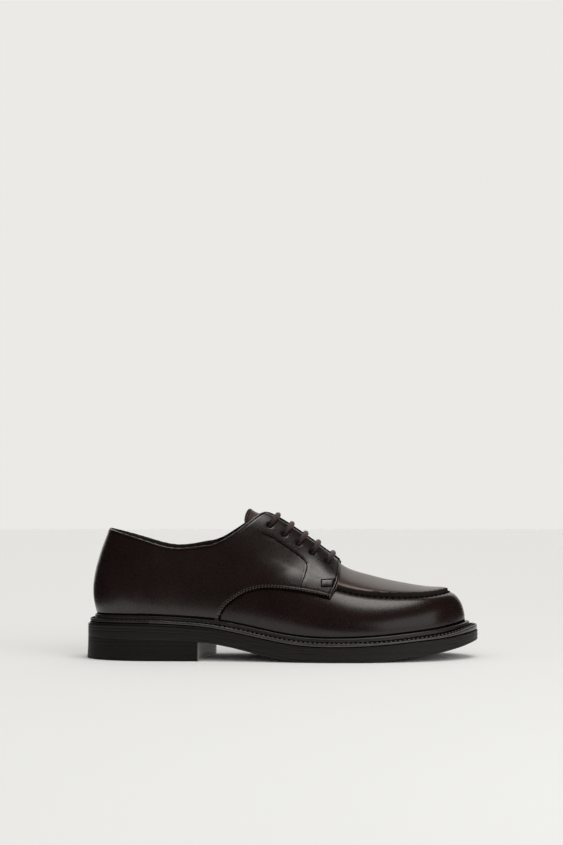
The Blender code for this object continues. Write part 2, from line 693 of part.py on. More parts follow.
def make_shoe():
    clear_scene()
    leather = {"colour": (0.045, 0.020, 0.013), "roughness": 0.35}
    make_upper(material("vamp_leather", **leather))
    for side in ("lateral", "medial"):
        make_quarter(side, material("quarter_leather_" + side, **leather))
    make_tongue(material("tongue_leather", **leather))
    make_insole(material("sock_leather", (0.10, 0.055, 0.035), 0.6))
    make_welt(material("welt_leather", (0.022, 0.012, 0.009), 0.45))
    make_outsole(material("sole_rubber", (0.012, 0.009, 0.008), 0.5))
    make_heel(material("heel_rubber", (0.012, 0.009, 0.008), 0.5))
    for number in range(1, LACE_BARS + 1):
        make_lace(number, material("lace_cotton_%d" % number, (0.03, 0.014, 0.014), 0.6))


make_shoe()
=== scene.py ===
"""Dressed view of the brown leather derby: fine leather shells, stitching, welt, sole and laces.

Sizes are in millimetres until a mesh is made, in the frame of the part: x runs from heel to toe, y from
the outer side to the inner side and z up. A place on the upper is (s, v): s counts the stations round
the shoe from the heel, and v runs up the wall from the welt (0) to the shoulder (1) and on to the crest (2).
"""

import math
from collections import namedtuple

import bpy
import numpy as np
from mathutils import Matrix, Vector, geometry, kdtree
from mathutils.bvhtree import BVHTree


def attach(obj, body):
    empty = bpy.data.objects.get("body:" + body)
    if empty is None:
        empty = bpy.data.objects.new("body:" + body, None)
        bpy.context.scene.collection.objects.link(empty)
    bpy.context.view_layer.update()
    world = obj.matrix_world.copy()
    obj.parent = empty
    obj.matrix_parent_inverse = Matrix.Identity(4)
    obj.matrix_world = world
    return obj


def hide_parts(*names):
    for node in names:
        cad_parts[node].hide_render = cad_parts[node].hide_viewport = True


MM = 0.001

# Leather and insole thicknesses, and gaps
WALL = 1.8
GAP = 0.5
QUARTER_THICK = 1.3
FACING_LIFT = 0.5
TONGUE_THICK = 1.8
TONGUE_GAP = 0.8
INSOLE_THICK = 6.0

# The sole stack: the welt's height hides the upper's lower edge
WELT_HEIGHT = 8.2
BEAD_WIDTH = 3.3
# Heights over the feather edge of the bead's top, its foot and the ledge's edge, rows of (station, height)
BEAD_TOP = -0.7
BEAD_FOOT = ((0, -3.3), (8, -3.3), (9, -3.6), (11, -3.5), (12, -2.8))
LEDGE = ((0, -3.8), (3.4, -3.8), (4.6, -4.6), (8, -4.6), (9, -5.4), (10.8, -5.6), (11.7, -3.7), (12, -3.5))
SOLE_PROUD = 0.4
HEEL_PROUD = 1.3
HEEL_FLARE = 0.7
BREAST_LATERAL = 85.3
BREAST_MEDIAL = 97.8
BREAST_HOLLOW = 3.0

# The raised apron seam: a lip that rises steeply from the wall and sinks into the plug
LIP_HEIGHT = 2.6
LIP_FALL = 13.0
LIP_COVER = 1.6
LIP_STARTS, LIP_FULL = 7.34, 7.6

# Throat and lacing
THROAT_HALF_GAP = 6.0
MEDIAL_FORWARD = 0.9
THROAT_END = 22 / 3
LACE_BARS = 5
EYELET_FIRST = (139.6, 102.0)
EYELET_STEP = (10.95, -6.95)
BAR_TOPS = (144.9, 155.2, 165.6, 174.9, 186.0)
LACE_SAGS = (2.8, 2.7, 2.2, 1.7, 1.3)

# Tongue, from its free top edge to its root under the vamp, in stations from the heel
TONGUE_TOP, TONGUE_ROOT = 4.97, 7.7

# Stations round the last, one row each, from the heel along the lateral side to the toe and back.
# base: feather edge; top: collar or shoulder line; leans: degrees out at the base and in at the top;
# crest_x: where the section crosses the crest; flatten: how far the plug lies flatter than the wall;
# welt: how far the welt stands out from the feather edge.
Station = namedtuple(
    "Station", "base_x base_y top_x top_y top_z base_lean top_lean crest_x flatten welt"
)
LATERAL_STATIONS = (
    Station(8.6, 0.0, 18.0, 0.0, 99.4, 21, 20, 0, 0, 7.2),
    Station(16.4, -18.6, 24.2, -15.8, 97.3, 18, 17, 0, 0, 6.6),
    Station(38.0, -28.8, 45.0, -25.0, 91.0, 12, 12, 40, 0, 6.7),
    Station(67.0, -31.3, 69.0, -27.8, 85.4, 9, 8, 76, 0, 6.6),
    Station(97.0, -33.5, 94.0, -27.5, 87.7, 8, 8, 104, 0, 6.6),
    Station(120.0, -37.5, 117.0, -27.0, 85.5, 9, 20, 126, 0, 6.8),
    Station(146.0, -43.0, 142.0, -28.0, 75.5, 10, 36, 150, 0, 7.3),
    Station(173.0, -47.2, 171.0, -31.0, 61.8, 11, 46, 177, 0, 7.8),
    Station(200.0, -48.6, 199.0, -32.0, 52.4, 11, 48, 203, 0, 8.1),
    Station(226.0, -46.0, 225.0, -31.0, 48.9, 9, 50, 226, 8, 8.3),
    Station(251.0, -38.5, 249.0, -26.0, 48.5, 5, 52, 244.5, 16, 8.6),
    Station(273.0, -24.8, 267.0, -15.2, 49.5, 2, 62, 257, 16, 9.0),
)
TOE_STATION = Station(290.2, 2.5, 277.6, 2.5, 51.0, 0, 72, 262, 14, 9.4)
MEDIAL_STATIONS = (
    Station(281.0, 26.0, 269.5, 18.5, 49.8, 2, 62, 257, 16, 9.0),
    Station(263.0, 38.3, 252.0, 27.5, 48.9, 5, 52, 244.5, 16, 8.4),
    Station(238.0, 44.6, 227.0, 31.3, 49.4, 9, 50, 226, 8, 7.8),
    Station(210.0, 45.6, 200.0, 31.5, 52.8, 11, 48, 203, 0, 7.2),
    Station(182.0, 42.0, 171.0, 30.5, 62.0, 11, 46, 177, 0, 6.7),
    Station(154.0, 35.0, 142.0, 28.3, 75.8, 10, 36, 150, 0, 6.4),
    Station(126.0, 29.6, 117.0, 26.8, 85.6, 9, 20, 126, 0, 6.3),
    Station(97.0, 28.8, 94.0, 27.0, 88.4, 8, 8, 104, 0, 6.4),
    Station(67.0, 29.6, 69.0, 27.3, 85.6, 9, 8, 76, 0, 6.5),
    Station(38.0, 28.3, 45.0, 24.8, 91.0, 12, 12, 40, 0, 6.6),
    Station(16.4, 18.4, 24.2, 15.6, 97.3, 18, 17, 0, 0, 6.6),
)
STATIONS = (*LATERAL_STATIONS, TOE_STATION, *MEDIAL_STATIONS)
RING = len(STATIONS)
TOE = len(LATERAL_STATIONS)
CREST_Y = 2.0

# Side profiles, rows of (x, z): feather edge, crest of the last, underside of the sole
FEATHER = ((0, 34.3), (40, 34.8), (80, 33.0), (105, 30.5), (131, 25.5), (160, 20.2), (190, 18.7),
           (224, 20.2), (255, 23.3), (272, 25.5), (290, 28.9))
CREST = ((40, 128), (76, 127), (104, 122.8), (126, 117.4), (148, 107.0), (166, 94.2), (186, 78.9),
         (196, 70.9), (212, 64.6), (229, 60.2), (246, 56.8), (262, 53.9))
UNDERSIDE = ((0, 16.5), (45, 16.0), (88, 14.1), (109, 10.8), (123, 7.5), (138, 4.1), (150, 1.9),
             (164, 0), (214, 0), (226, 0.9), (247, 3.4), (265, 5.6), (285, 9.4), (300, 13.5))

# Cut lines of the quarter seen from the side, rows of (x, z)
COLLAR_FRONT = ((100.5, 90.2), (109, 94.8), (118, 101.1), (125, 106.4), (132, 111.4), (141, 117.8))
VAMP_SEAM = ((102.6, 34.5), (107.0, 41.3), (113.6, 46.7), (122.0, 51.6), (131.2, 54.2), (138.0, 54.8),
             (148.0, 54.5), (163.3, 52.8), (175.0, 50.7), (185.7, 48.1))
FACING_FRONT = ((185.7, 48.1), (188.0, 51.4), (190.6, 55.6), (192.4, 59.7), (193.7, 65.1), (194.2, 70.0),
                (194.0, 74.5))


def ring_controls(rows):
    """Control rows of the smooth closed curve that passes through rows."""
    n = len(rows)
    band = 4 * np.eye(n) + np.roll(np.eye(n), 1, axis=0) + np.roll(np.eye(n), -1, axis=0)
    return np.linalg.solve(band / 6, np.asarray(rows, float))


STATION_CONTROLS = ring_controls(STATIONS)


def stations_at(s):
    """Every column of the station table at s, between the rows too."""
    s = np.asarray(s, float)
    i = np.floor(s).astype(int)
    t = (s - i)[..., None]
    c = [STATION_CONTROLS[(i + k - 1) % RING] for k in range(4)]
    blend = ((1 - t) ** 3, 3 * t**3 - 6 * t**2 + 4, -3 * t**3 + 3 * t**2 + 3 * t + 1, t**3)
    row = sum(weight * value for weight, value in zip(blend, c)) / 6
    return Station(*np.moveaxis(row, -1, 0))


def smooth_profile(rows, x):
    """Height at x of the natural cubic curve through rows of (x, z)."""
    knots, values = np.asarray(rows, float).T
    width = np.diff(knots)
    rise = np.diff(values) / width
    n = len(knots)
    system, right = np.eye(n), np.zeros(n)
    for i in range(1, n - 1):
        system[i, i - 1:i + 2] = width[i - 1], 2 * (width[i - 1] + width[i]), width[i]
        right[i] = 6 * (rise[i] - rise[i - 1])
    bend = np.linalg.solve(system, right)
    x = np.asarray(x, float)
    i = np.clip(np.searchsorted(knots, x) - 1, 0, n - 2)
    a, b = knots[i + 1] - x, x - knots[i]
    w = width[i]
    line = (values[i] * a + values[i + 1] * b) / w
    return line + (bend[i] * (a**3 / w - a * w) + bend[i + 1] * (b**3 / w - b * w)) / 6


def flat_profile(rows, x):
    """Value at x of the curve through rows that never overshoots them, so flat stretches stay flat."""
    knots, values = np.asarray(rows, float).T
    width = np.diff(knots)
    rise = np.diff(values) / width
    slope = np.zeros(len(knots))
    same_way = rise[:-1] * rise[1:] > 0
    w1, w2 = 2 * width[1:] + width[:-1], width[1:] + 2 * width[:-1]
    safe = np.where(same_way, rise[:-1], 1), np.where(same_way, rise[1:], 1)
    slope[1:-1] = np.where(same_way, (w1 + w2) / (w1 / safe[0] + w2 / safe[1]), 0)
    slope[0], slope[-1] = rise[0], rise[-1]
    x = np.clip(np.asarray(x, float), knots[0], knots[-1])
    i = np.clip(np.searchsorted(knots, x) - 1, 0, len(knots) - 2)
    t = (x - knots[i]) / width[i]
    return (values[i] * (1 + 2 * t) * (1 - t) ** 2 + values[i + 1] * t * t * (3 - 2 * t)
            + width[i] * t * (1 - t) * (slope[i] * (1 - t) - slope[i + 1] * t))


def smooth_step(low, high, x):
    t = np.clip((np.asarray(x, float) - low) / (high - low), 0, 1)
    return t * t * (3 - 2 * t)


def rounded(distance, radius):
    """Share of its full height that a rounded edge has at a distance from it."""
    return np.sqrt(1 - (1 - np.clip(distance / radius, 0, 1)) ** 2)


def vectors(x, y, z):
    return np.stack(np.broadcast_arrays(x, y, z), axis=-1)


def length(v):
    return np.linalg.norm(v, axis=-1, keepdims=True)


def unit(v):
    return v / np.maximum(length(v), 1e-9)


def runs(points):
    """Distance along a line of points, from its start."""
    return np.concatenate([[0], np.cumsum(length(np.diff(points, axis=0)).ravel())])


def drawn(line, run, at):
    """Rows of a line at distances along its run."""
    return np.stack([np.interp(at, run, column) for column in np.asarray(line).T], axis=-1)


def bezier(a, b, c, d, t):
    return (1 - t) ** 3 * a + 3 * (1 - t) ** 2 * t * b + 3 * (1 - t) * t * t * c + t**3 * d


def feather_edge(s):
    row = stations_at(s)
    return vectors(row.base_x, row.base_y, smooth_profile(FEATHER, row.base_x))


def outward(s):
    """Level unit vector that points away from the shoe at s."""
    step = 0.01
    ahead, behind = stations_at(np.asarray(s) + step), stations_at(np.asarray(s) - step)
    along = vectors(ahead.base_x - behind.base_x, ahead.base_y - behind.base_y, 0.0)
    return vectors(along[..., 1], -along[..., 0], 0.0) / length(along)


def surface(s, v):
    """Outer face of the last at (s, v): a wall, the top from shoulder to crest, then the other side."""
    s, v = np.broadcast_arrays(np.asarray(s, float), np.asarray(v, float))
    s, v = np.where(v > 2, RING - s, s), np.where(v > 2, 4 - v, v)
    row = stations_at(s)
    out, up = outward(s), vectors(0.0, 0.0, np.ones(s.shape))
    base, top = feather_edge(s), vectors(row.top_x, row.top_y, row.top_z)
    base_lean, top_lean = (np.radians(a)[..., None] for a in (row.base_lean, row.top_lean))
    tall = length(top - base)
    low = base + 0.35 * tall * (out * np.sin(base_lean) + up * np.cos(base_lean))
    high = top + 0.35 * tall * (out * np.sin(top_lean) - up * np.cos(top_lean))
    crest = vectors(row.crest_x, CREST_Y, smooth_profile(CREST, row.crest_x))
    across = crest - top
    rise = math.pi / 2 - top_lean - np.radians(row.flatten)[..., None]
    near = top + 0.35 * length(across[..., :2]) * (up * np.sin(rise) - out * np.cos(rise))
    far = crest - vectors(0.0, 0.42 * across[..., 1], 0.0)
    v = v[..., None]
    wall = bezier(base, low, high, top, np.clip(v, 0, 1))
    return np.where(v <= 1, wall, bezier(top, near, far, crest, np.clip(v - 1, 0, 1)))


def normal(s, v):
    step = 0.004
    s, v = np.broadcast_arrays(np.asarray(s, float), np.asarray(v, float))
    along = surface(s + step, v) - surface(s - step, v)
    up = surface(s, v + step) - surface(s, np.maximum(v - step, 0))
    return unit(np.cross(along, up))


def toe_share(s):
    """Station counted from the heel on either side, so that both sides share one rule."""
    return TOE - np.abs(np.asarray(s, float) % RING - TOE)


def past_seam(s, v):
    """Distance up the plug from the apron seam."""
    row = stations_at(s)
    return (np.asarray(v, float) - 1) * np.hypot(row.crest_x - row.top_x, CREST_Y - row.top_y)


def lip_cover(s, v):
    """Height of the soft swell that the raised seam gives the quarter lying over it."""
    past = past_seam(s, v)
    shape = smooth_step(-9, 4, past) * (1 - smooth_step(7, LIP_FALL + 10, past))
    return LIP_COVER * shape * smooth_step(LIP_STARTS - 0.9, LIP_STARTS + 0.1, toe_share(s))


def raised(s, v, height):
    """Points at a height over the last."""
    return surface(s, v) + np.asarray(height)[..., None] * normal(s, v)


def quarter_lift(s, v):
    """Height of the quarter's outer face over the last: the facings stand a little over the tongue."""
    facing = smooth_step(1.2, 1.7, v) * smooth_step(5.6, 7.0, toe_share(s))
    return GAP + QUARTER_THICK + FACING_LIFT * facing + lip_cover(s, v)


def quarter_face(s, v):
    return raised(s, v, quarter_lift(s, v))


def locate(face, rows, side):
    """Places (s, v) on one side of a face that show at the given (x, z) from the side."""
    goal = np.asarray(rows, float)
    first = 0.0 if side == "lateral" else float(TOE)
    grid_s, grid_v = np.meshgrid(np.linspace(first + 0.2, first + TOE - 0.2, 117), np.linspace(0, 2, 41))
    seen = face(grid_s, grid_v)[..., [0, 2]].reshape(-1, 2)
    nearest = np.argmin(((seen[None] - goal[:, None]) ** 2).sum(-1), axis=1)
    s, v = grid_s.ravel()[nearest], grid_v.ravel()[nearest]
    step = 1e-3
    for _ in range(12):
        here = face(s, v)[..., [0, 2]]
        by_s = (face(s + step, v)[..., [0, 2]] - here) / step
        by_v = (face(s, np.clip(v + step, 0, 2))[..., [0, 2]] - here) / step
        miss = goal - here
        area = by_s[:, 0] * by_v[:, 1] - by_s[:, 1] * by_v[:, 0]
        area = np.where(np.abs(area) < 1e-6, 1e-6, area)
        move_s = (miss[:, 0] * by_v[:, 1] - miss[:, 1] * by_v[:, 0]) / area
        move_v = (by_s[:, 0] * miss[:, 1] - by_s[:, 1] * miss[:, 0]) / area
        s = s + np.clip(move_s, -0.3, 0.3)
        v = np.clip(v + np.clip(move_v, -0.1, 0.1), 0, 1.98)
    return np.stack([s, v], axis=-1)


def throat_v(s):
    """v of the throat's edge, half the lacing gap from the crest."""
    s = np.asarray(s, float)
    low, high = np.full(s.shape, 1.0), np.full(s.shape, 2.0)
    for _ in range(30):
        middle = (low + high) / 2
        outside = np.abs(surface(s, middle)[..., 1] - CREST_Y) > THROAT_HALF_GAP
        low, high = np.where(outside, middle, low), np.where(outside, high, middle)
    return (low + high) / 2


def to_share(places):
    """Places (s, v) with their station counted from the heel."""
    return np.stack([toe_share(places[:, 0]), places[:, 1]], axis=-1)


def collar_table(side):
    """Rows of (station from the heel, v) along the collar of one side."""
    return np.vstack([[(0, 1), (2, 1), (4, 1)], to_share(locate(quarter_face, COLLAR_FRONT, side))])


COLLAR_TABLES = {side: collar_table(side) for side in ("lateral", "medial")}


def top_v(s):
    """v of the upper's free edge: the collar, a round corner, then the throat's edge."""
    s = np.asarray(s, float)
    share = toe_share(s)
    lateral = s % RING <= TOE
    collar = np.where(lateral, flat_profile(COLLAR_TABLES["lateral"], share),
                      flat_profile(COLLAR_TABLES["medial"], share))
    throat = np.where(share > 4, throat_v(np.where(share > 4, s, TOE / 2)), 2.0)
    sharp = 22.0
    return np.where(share > 4, -np.log(np.exp(-sharp * collar) + np.exp(-sharp * throat)) / sharp, collar)


def in_ring(side, s):
    """Ring station of a place s stations from the heel on that side."""
    return s if side == "lateral" else RING - s


def welt_inside(s):
    """Clearance of the welt from the feather edge: wider behind the seam, where the quarter stands."""
    return GAP + (QUARTER_THICK + GAP) * (1 - smooth_step(4.45, 4.75, toe_share(s)))


def welt_outline(s):
    return stations_at(s).welt


def bead_edge(s, inside):
    """Outer edge of the welt's bead, which hugs the quarter behind and is wider along the vamp."""
    share = 0.28 + 0.14 * smooth_step(4.45, 4.75, toe_share(s))
    return inside + np.minimum(BEAD_WIDTH, share * (welt_outline(s) - inside))


def welt_levels(s):
    """Heights over the feather edge of the bead's foot and the ledge's edge."""
    share = toe_share(s)
    return flat_profile(BEAD_FOOT, share), flat_profile(LEDGE, share)


def sole_outline(s, inset=0.0, z=None):
    """Edge of the sole in plan, drawn in by inset, at height z."""
    proud = SOLE_PROUD + HEEL_PROUD * (1 - smooth_step(3.0, 5.0, toe_share(s)))
    edge = feather_edge(s) + outward(s) * (welt_outline(s) + proud - inset)[..., None]
    return edge if z is None else vectors(edge[..., 0], edge[..., 1], z)


def plan_centre():
    """Middle of the box that the shoe stands in, in plan."""
    s = np.linspace(0, RING, 961)
    edge = sole_outline(s)[:, :2]
    flared = edge + HEEL_FLARE * outward(s)[:, :2] * (edge[:, :1] < BREAST_LATERAL)
    return (flared.min(axis=0) + flared.max(axis=0)) / 2


PLAN_CENTRE = plan_centre()


def grid_faces(columns, rows, first=0):
    """Quads of a grid of points stored column by column."""
    corners = [first + c * rows + r for c in range(columns - 1) for r in range(rows - 1)]
    return [(k, k + rows, k + rows + 1, k + 1) for k in corners]


def weld(points, faces):
    """Points that share a place become one, and faces that lose a corner there keep the rest."""
    keys = np.round(np.asarray(points) + 0.00037, 3)
    _, first, index = np.unique(keys, axis=0, return_index=True, return_inverse=True)
    index = index.ravel()
    welded = []
    for face in faces:
        corners = []
        for corner in (index[c] for c in face):
            if corner not in corners:
                corners.append(corner)
        if len(corners) > 2:
            welded.append(tuple(corners))
    return first, welded


def shell(outer, inner, faces):
    """Closed solid between two sheets of points that share their faces."""
    first, sheet = weld(outer, faces)
    outer, inner = np.asarray(outer)[first], np.asarray(inner)[first]
    n = len(outer)
    edges = {(face[i], face[(i + 1) % len(face)]) for face in sheet for i in range(len(face))}
    rims = [(b, a, a + n, b + n) for a, b in edges if (b, a) not in edges]
    back = [tuple(c + n for c in reversed(face)) for face in sheet]
    return np.vstack([outer, inner]), [*sheet, *back, *rims]


def turned(faces):
    """Faces seen from their other side."""
    return [tuple(reversed(face)) for face in faces]


def join_grids(grids):
    """Points and faces of several grids, each a pair of matching outer and inner point arrays."""
    outer, inner, faces = [], [], []
    count = 0
    for top, bottom, flip in grids:
        columns, rows = top.shape[:2]
        quads = grid_faces(columns, rows, count)
        faces += turned(quads) if flip else quads
        outer.append(top.reshape(-1, 3))
        inner.append(bottom.reshape(-1, 3))
        count += columns * rows
    return np.vstack(outer), np.vstack(inner), faces


def edge_v(s):
    """Row where the upper's walls stop: its free edge, carried on over the closed toe."""
    share = np.minimum(toe_share(s), THROAT_END)
    return top_v(np.where(np.asarray(s) % RING <= TOE, share, RING - share))


def quarter_borders(side):
    """Border lines of a quarter in (stations from the heel, v)."""
    seam = to_share(locate(quarter_face, VAMP_SEAM, side))
    forward = MEDIAL_FORWARD if side == "medial" else 0.0
    front = to_share(locate(quarter_face, [(x + forward, z) for x, z in FACING_FRONT], side))
    foot, back = seam[0, 0] - 0.03, 0.012
    base = np.stack([np.linspace(back, foot, 40), np.zeros(40)], axis=-1)
    seam = np.vstack([[foot, 0.0], seam[:-1], front[:1]])
    corner = front[-1, 0] - 0.1
    rim = np.linspace(back, corner, 160)
    rim = np.stack([rim, top_v(in_ring(side, rim))], axis=-1)
    front = np.vstack([front, rim[-1:]])
    return base, seam, front, rim


def across(lateral, medial, count=3):
    """Grid of points from the lateral line to the medial line."""
    t = np.linspace(0, 1, count)[None, :, None]
    return lateral[:, None] * (1 - t) + medial[:, None] * t


def breast_share(side, x):
    """Station from the heel where the sole's edge reaches x."""
    share = np.linspace(0.5, 6, 400)
    return np.interp(x, sole_outline(in_ring(side, share))[:, 0], share)


def eyelets(side):
    """Places of the eyelets of one facing, in (stations from the heel, v)."""
    rows = [[first + i * step for first, step in zip(EYELET_FIRST, EYELET_STEP)] for i in range(LACE_BARS)]
    return to_share(locate(quarter_face, rows, side))


def tongue_edge(v):
    """Station of the tongue's free top edge at v: its sides lean back, then round off."""
    q = (2 - v) / 0.7
    return TONGUE_TOP - 0.16 * q + 0.66 * q**4


def bar_crossings():
    """Station where each lace bar crosses the crest."""
    share = np.linspace(4, TOE, 400)
    return np.interp(BAR_TOPS, stations_at(share).crest_x, share)


def add_piece(name, points, faces, finishes, face_finish=None, node=None, slot=None):
    """Mesh piece from millimetre points that rides with the shoe."""
    moved = (np.asarray(points, float) - [*PLAN_CENTRE, 0.0]) * MM
    mesh = bpy.data.meshes.new(name)
    mesh.from_pydata(moved.tolist(), [], faces)
    for finish in finishes:
        mesh.materials.append(finish)
    if face_finish is not None:
        mesh.polygons.foreach_set("material_index", np.asarray(face_finish, dtype=np.int32))
    mesh.update()
    mesh.shade_smooth()
    made = bpy.data.objects.new(name, mesh)
    bpy.context.scene.collection.objects.link(made)
    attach(made, "root")
    if node:
        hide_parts(*node)
    return made


def add_attribute(piece, name, values):
    """Number for each point of a piece, for its material to read."""
    layer = piece.data.attributes.new(name, "FLOAT", "POINT")
    layer.data.foreach_set("value", np.asarray(values, dtype=np.float32))


# Rough size in millimetres of one station along the shoe and of one step of v up it
PLACE_SIZE = (27, 40)


def spaced(line, fractions):
    """Rows of a line of (s, v) at shares of its length."""
    line = np.asarray(line, float)
    run = runs(line * PLACE_SIZE)
    return drawn(line, run, np.asarray(fractions) * run[-1])


def face_axes(face, s, v):
    """Slopes of a face along s and v, and its unit normal."""
    step = 2e-3
    under = np.maximum(v - step, 0)
    by_s = (face(s + step, v) - face(s - step, v)) / (2 * step)
    by_v = (face(s, v + step) - face(s, under)) / (v + step - under)[..., None]
    return by_s, by_v, unit(np.cross(by_s, by_v))


def shifted(line, distance, face):
    """Line of (s, v) moved sideways over a face, to the left of its run seen from outside."""
    moved = np.array(line, float)
    for _ in range(3):
        s, v = moved.T
        by_s, by_v, out = face_axes(face, s, v)
        side = np.cross(out, unit(np.gradient(face(s, v), axis=0))) * (distance / 3)
        a, b, c = ((p * q).sum(-1) for p, q in ((by_s, by_s), (by_s, by_v), (by_v, by_v)))
        d, e = (by_s * side).sum(-1), (by_v * side).sum(-1)
        area = a * c - b * b
        moved = moved + np.stack([(c * d - b * e) / area, (a * e - b * d) / area], axis=-1)
    return moved


def along_face(face, line, pitch):
    """Evenly spaced points along a line of (s, v) on a face, with their run and normal."""
    dense = spaced(line, np.linspace(0, 1, max(400, 12 * len(line))))
    points = face(*dense.T)
    run = runs(points)
    at = np.linspace(0, run[-1], max(2, int(round(run[-1] / pitch)) + 1))
    place = drawn(dense, run, at)
    near = 0.3
    along = unit(drawn(points, run, at + near) - drawn(points, run, at - near))
    return face(*place.T), along, face_axes(face, *place.T)[2]


def ring_faces(rings, around):
    """Quads between rings of points, each ring closed on itself."""
    pairs = [(a * around + b, a * around + (b + 1) % around) for a in range(rings - 1) for b in range(around)]
    return [(first, first + around, second + around, second) for first, second in pairs]


def rod_faces(rings, around):
    """Faces of a rod: those between its rings and its two ends."""
    last = rings * around - 1
    return ring_faces(rings, around) + [tuple(range(around)), tuple(range(last, last - around, -1))]


def circle(beside, up, around):
    """Unit circles of points, each in the plane of two directions."""
    turn = np.linspace(0, 2 * math.pi, around + 1)[:-1, None]
    return np.cos(turn) * beside[..., None, :] + np.sin(turn) * up[..., None, :]


# Length, radius and height of a stitch, and how far its ends dip
Stitch = namedtuple("Stitch", "long thick rise sink", defaults=(0.35,))


def stitch_mesh(points, along, out, stitch, around=6, steps=5):
    """Threads lying on a face: each a small rod whose ends dip into the leather."""
    u = np.linspace(-1, 1, steps)
    slim = np.sqrt(np.clip(1 - 0.75 * u**4, 0.08, 1))
    centre = (points[:, None] + along[:, None] * (u * stitch.long / 2)[:, None]
              + out[:, None] * (stitch.rise - stitch.sink * np.abs(u)**3)[:, None])
    ring = circle(unit(np.cross(out, along)), out, around)[:, None] * (stitch.thick * slim)[:, None, None]
    rod = rod_faces(steps, around)
    faces = [tuple(c + k * steps * around for c in face) for k in range(len(points)) for face in rod]
    return (centre[:, :, None] + ring).reshape(-1, 3), faces


def cord_mesh(points, along, out, thick, rise, around=8):
    """Thread that runs on along a row of places."""
    ring = circle(unit(np.cross(out, along)), out, around) * thick
    return ((points + out * rise)[:, None] + ring).reshape(-1, 3), rod_faces(len(points), around)


def distance_to(points, line):
    """Distance of each point to the nearest of a line's points."""
    tree = kdtree.KDTree(len(line))
    for k, place in enumerate(line):
        tree.insert(place, k)
    tree.balance()
    flat = [tree.find(place)[2] for place in points.reshape(-1, 3)]
    return np.reshape(flat, points.shape[:-1])


def merge(meshes):
    """One set of points and faces from several."""
    points, faces, count = [], [], 0
    for p, f in meshes:
        points.append(np.asarray(p))
        faces += [tuple(c + count for c in face) for face in f]
        count += len(p)
    return np.vstack(points), faces


def soft_noise(points, size, seed):
    """Smooth wave of about unit height from a few sines, the same on each run."""
    rng = np.random.default_rng(seed)
    total = np.zeros(points.shape[:-1])
    for _ in range(7):
        direction = rng.normal(size=3)
        direction /= np.linalg.norm(direction)
        wave = (points @ direction) * (2 * math.pi / size)
        total += np.sin(wave * rng.uniform(0.6, 1.5) + rng.uniform(0, 6.28))
    return total / 3.0


# Shader helpers

def new_material(name, values):
    """Material with its node tree and its shader, whose named sockets take the values."""
    made = bpy.data.materials.new(name)
    made.use_nodes = True
    shader = made.node_tree.nodes["Principled BSDF"]
    for key, value in values.items():
        shader.inputs[key].default_value = value
    return made, made.node_tree, shader


def node(tree, kind, **settings):
    made = tree.nodes.new(kind)
    for key, value in settings.items():
        if key in made.inputs.keys():
            made.inputs[key].default_value = value
        else:
            setattr(made, key, value)
    return made


def on_shoe(tree, texture, stretch=(1, 1, 1)):
    """Texture node laid out in the shoe's own metres."""
    place, squeeze = node(tree, "ShaderNodeTexCoord"), node(tree, "ShaderNodeMapping", Scale=stretch)
    tree.links.new(place.outputs["Object"], squeeze.inputs["Vector"])
    tree.links.new(squeeze.outputs["Vector"], texture.inputs["Vector"])
    return texture


def noise(tree, scale, detail=3.0, roughness=0.5, stretch=(1, 1, 1)):
    texture = node(tree, "ShaderNodeTexNoise", Scale=scale, Detail=detail, Roughness=roughness)
    return on_shoe(tree, texture, stretch).outputs["Fac"]


def cells(tree, scale):
    texture = node(tree, "ShaderNodeTexVoronoi", feature="SMOOTH_F1", Scale=scale, Smoothness=0.6)
    return on_shoe(tree, texture).outputs["Distance"]


def ramp(tree, source, low, high, dark=0.0, light=1.0):
    made = node(tree, "ShaderNodeMapRange")
    for key, value in zip(("From Min", "From Max", "To Min", "To Max"), (low, high, dark, light)):
        made.inputs[key].default_value = value
    tree.links.new(source, made.inputs["Value"])
    return made.outputs["Result"]


def colour_by(tree, shader, source, dark, light):
    """Base colour between two tones, as the source says."""
    made = node(tree, "ShaderNodeMix", data_type="RGBA")
    made.inputs["A"].default_value = (*dark, 1)
    made.inputs["B"].default_value = (*light, 1)
    tree.links.new(source, made.inputs["Factor"])
    tree.links.new(made.outputs["Result"], shader.inputs["Base Color"])


def roughness_by(tree, shader, scale, low, high):
    """Roughness that varies a little over the face."""
    tree.links.new(ramp(tree, noise(tree, scale), 0.3, 0.7, low, high), shader.inputs["Roughness"])


def add_bump(tree, shader, height, distance, strength, after=None):
    made = node(tree, "ShaderNodeBump", Strength=strength, Distance=distance)
    tree.links.new(height, made.inputs["Height"])
    if after is not None:
        tree.links.new(after, made.inputs["Normal"])
    tree.links.new(made.outputs["Normal"], shader.inputs["Normal"])
    return made.outputs["Normal"]


def leather(name, dark, light, gloss, grain=0.05, coat=0.05, shine=0.5, tint=(1, 1, 1)):
    """Smooth calf leather: faint cloudy colour, fine pores and a soft polish."""
    made, tree, shader = new_material(name, {"Coat Weight": coat, "Coat Roughness": 0.22,
                                             "Specular IOR Level": shine, "Specular Tint": (*tint, 1)})
    colour_by(tree, shader, ramp(tree, noise(tree, 55.0, 4.0), 0.35, 0.68), dark, light)
    roughness_by(tree, shader, 420.0, gloss - 0.02, gloss + 0.03)
    pores = add_bump(tree, shader, cells(tree, 1500.0), 0.00016, grain)
    add_bump(tree, shader, noise(tree, 150.0), 0.0006, grain * 0.5, pores)
    return made


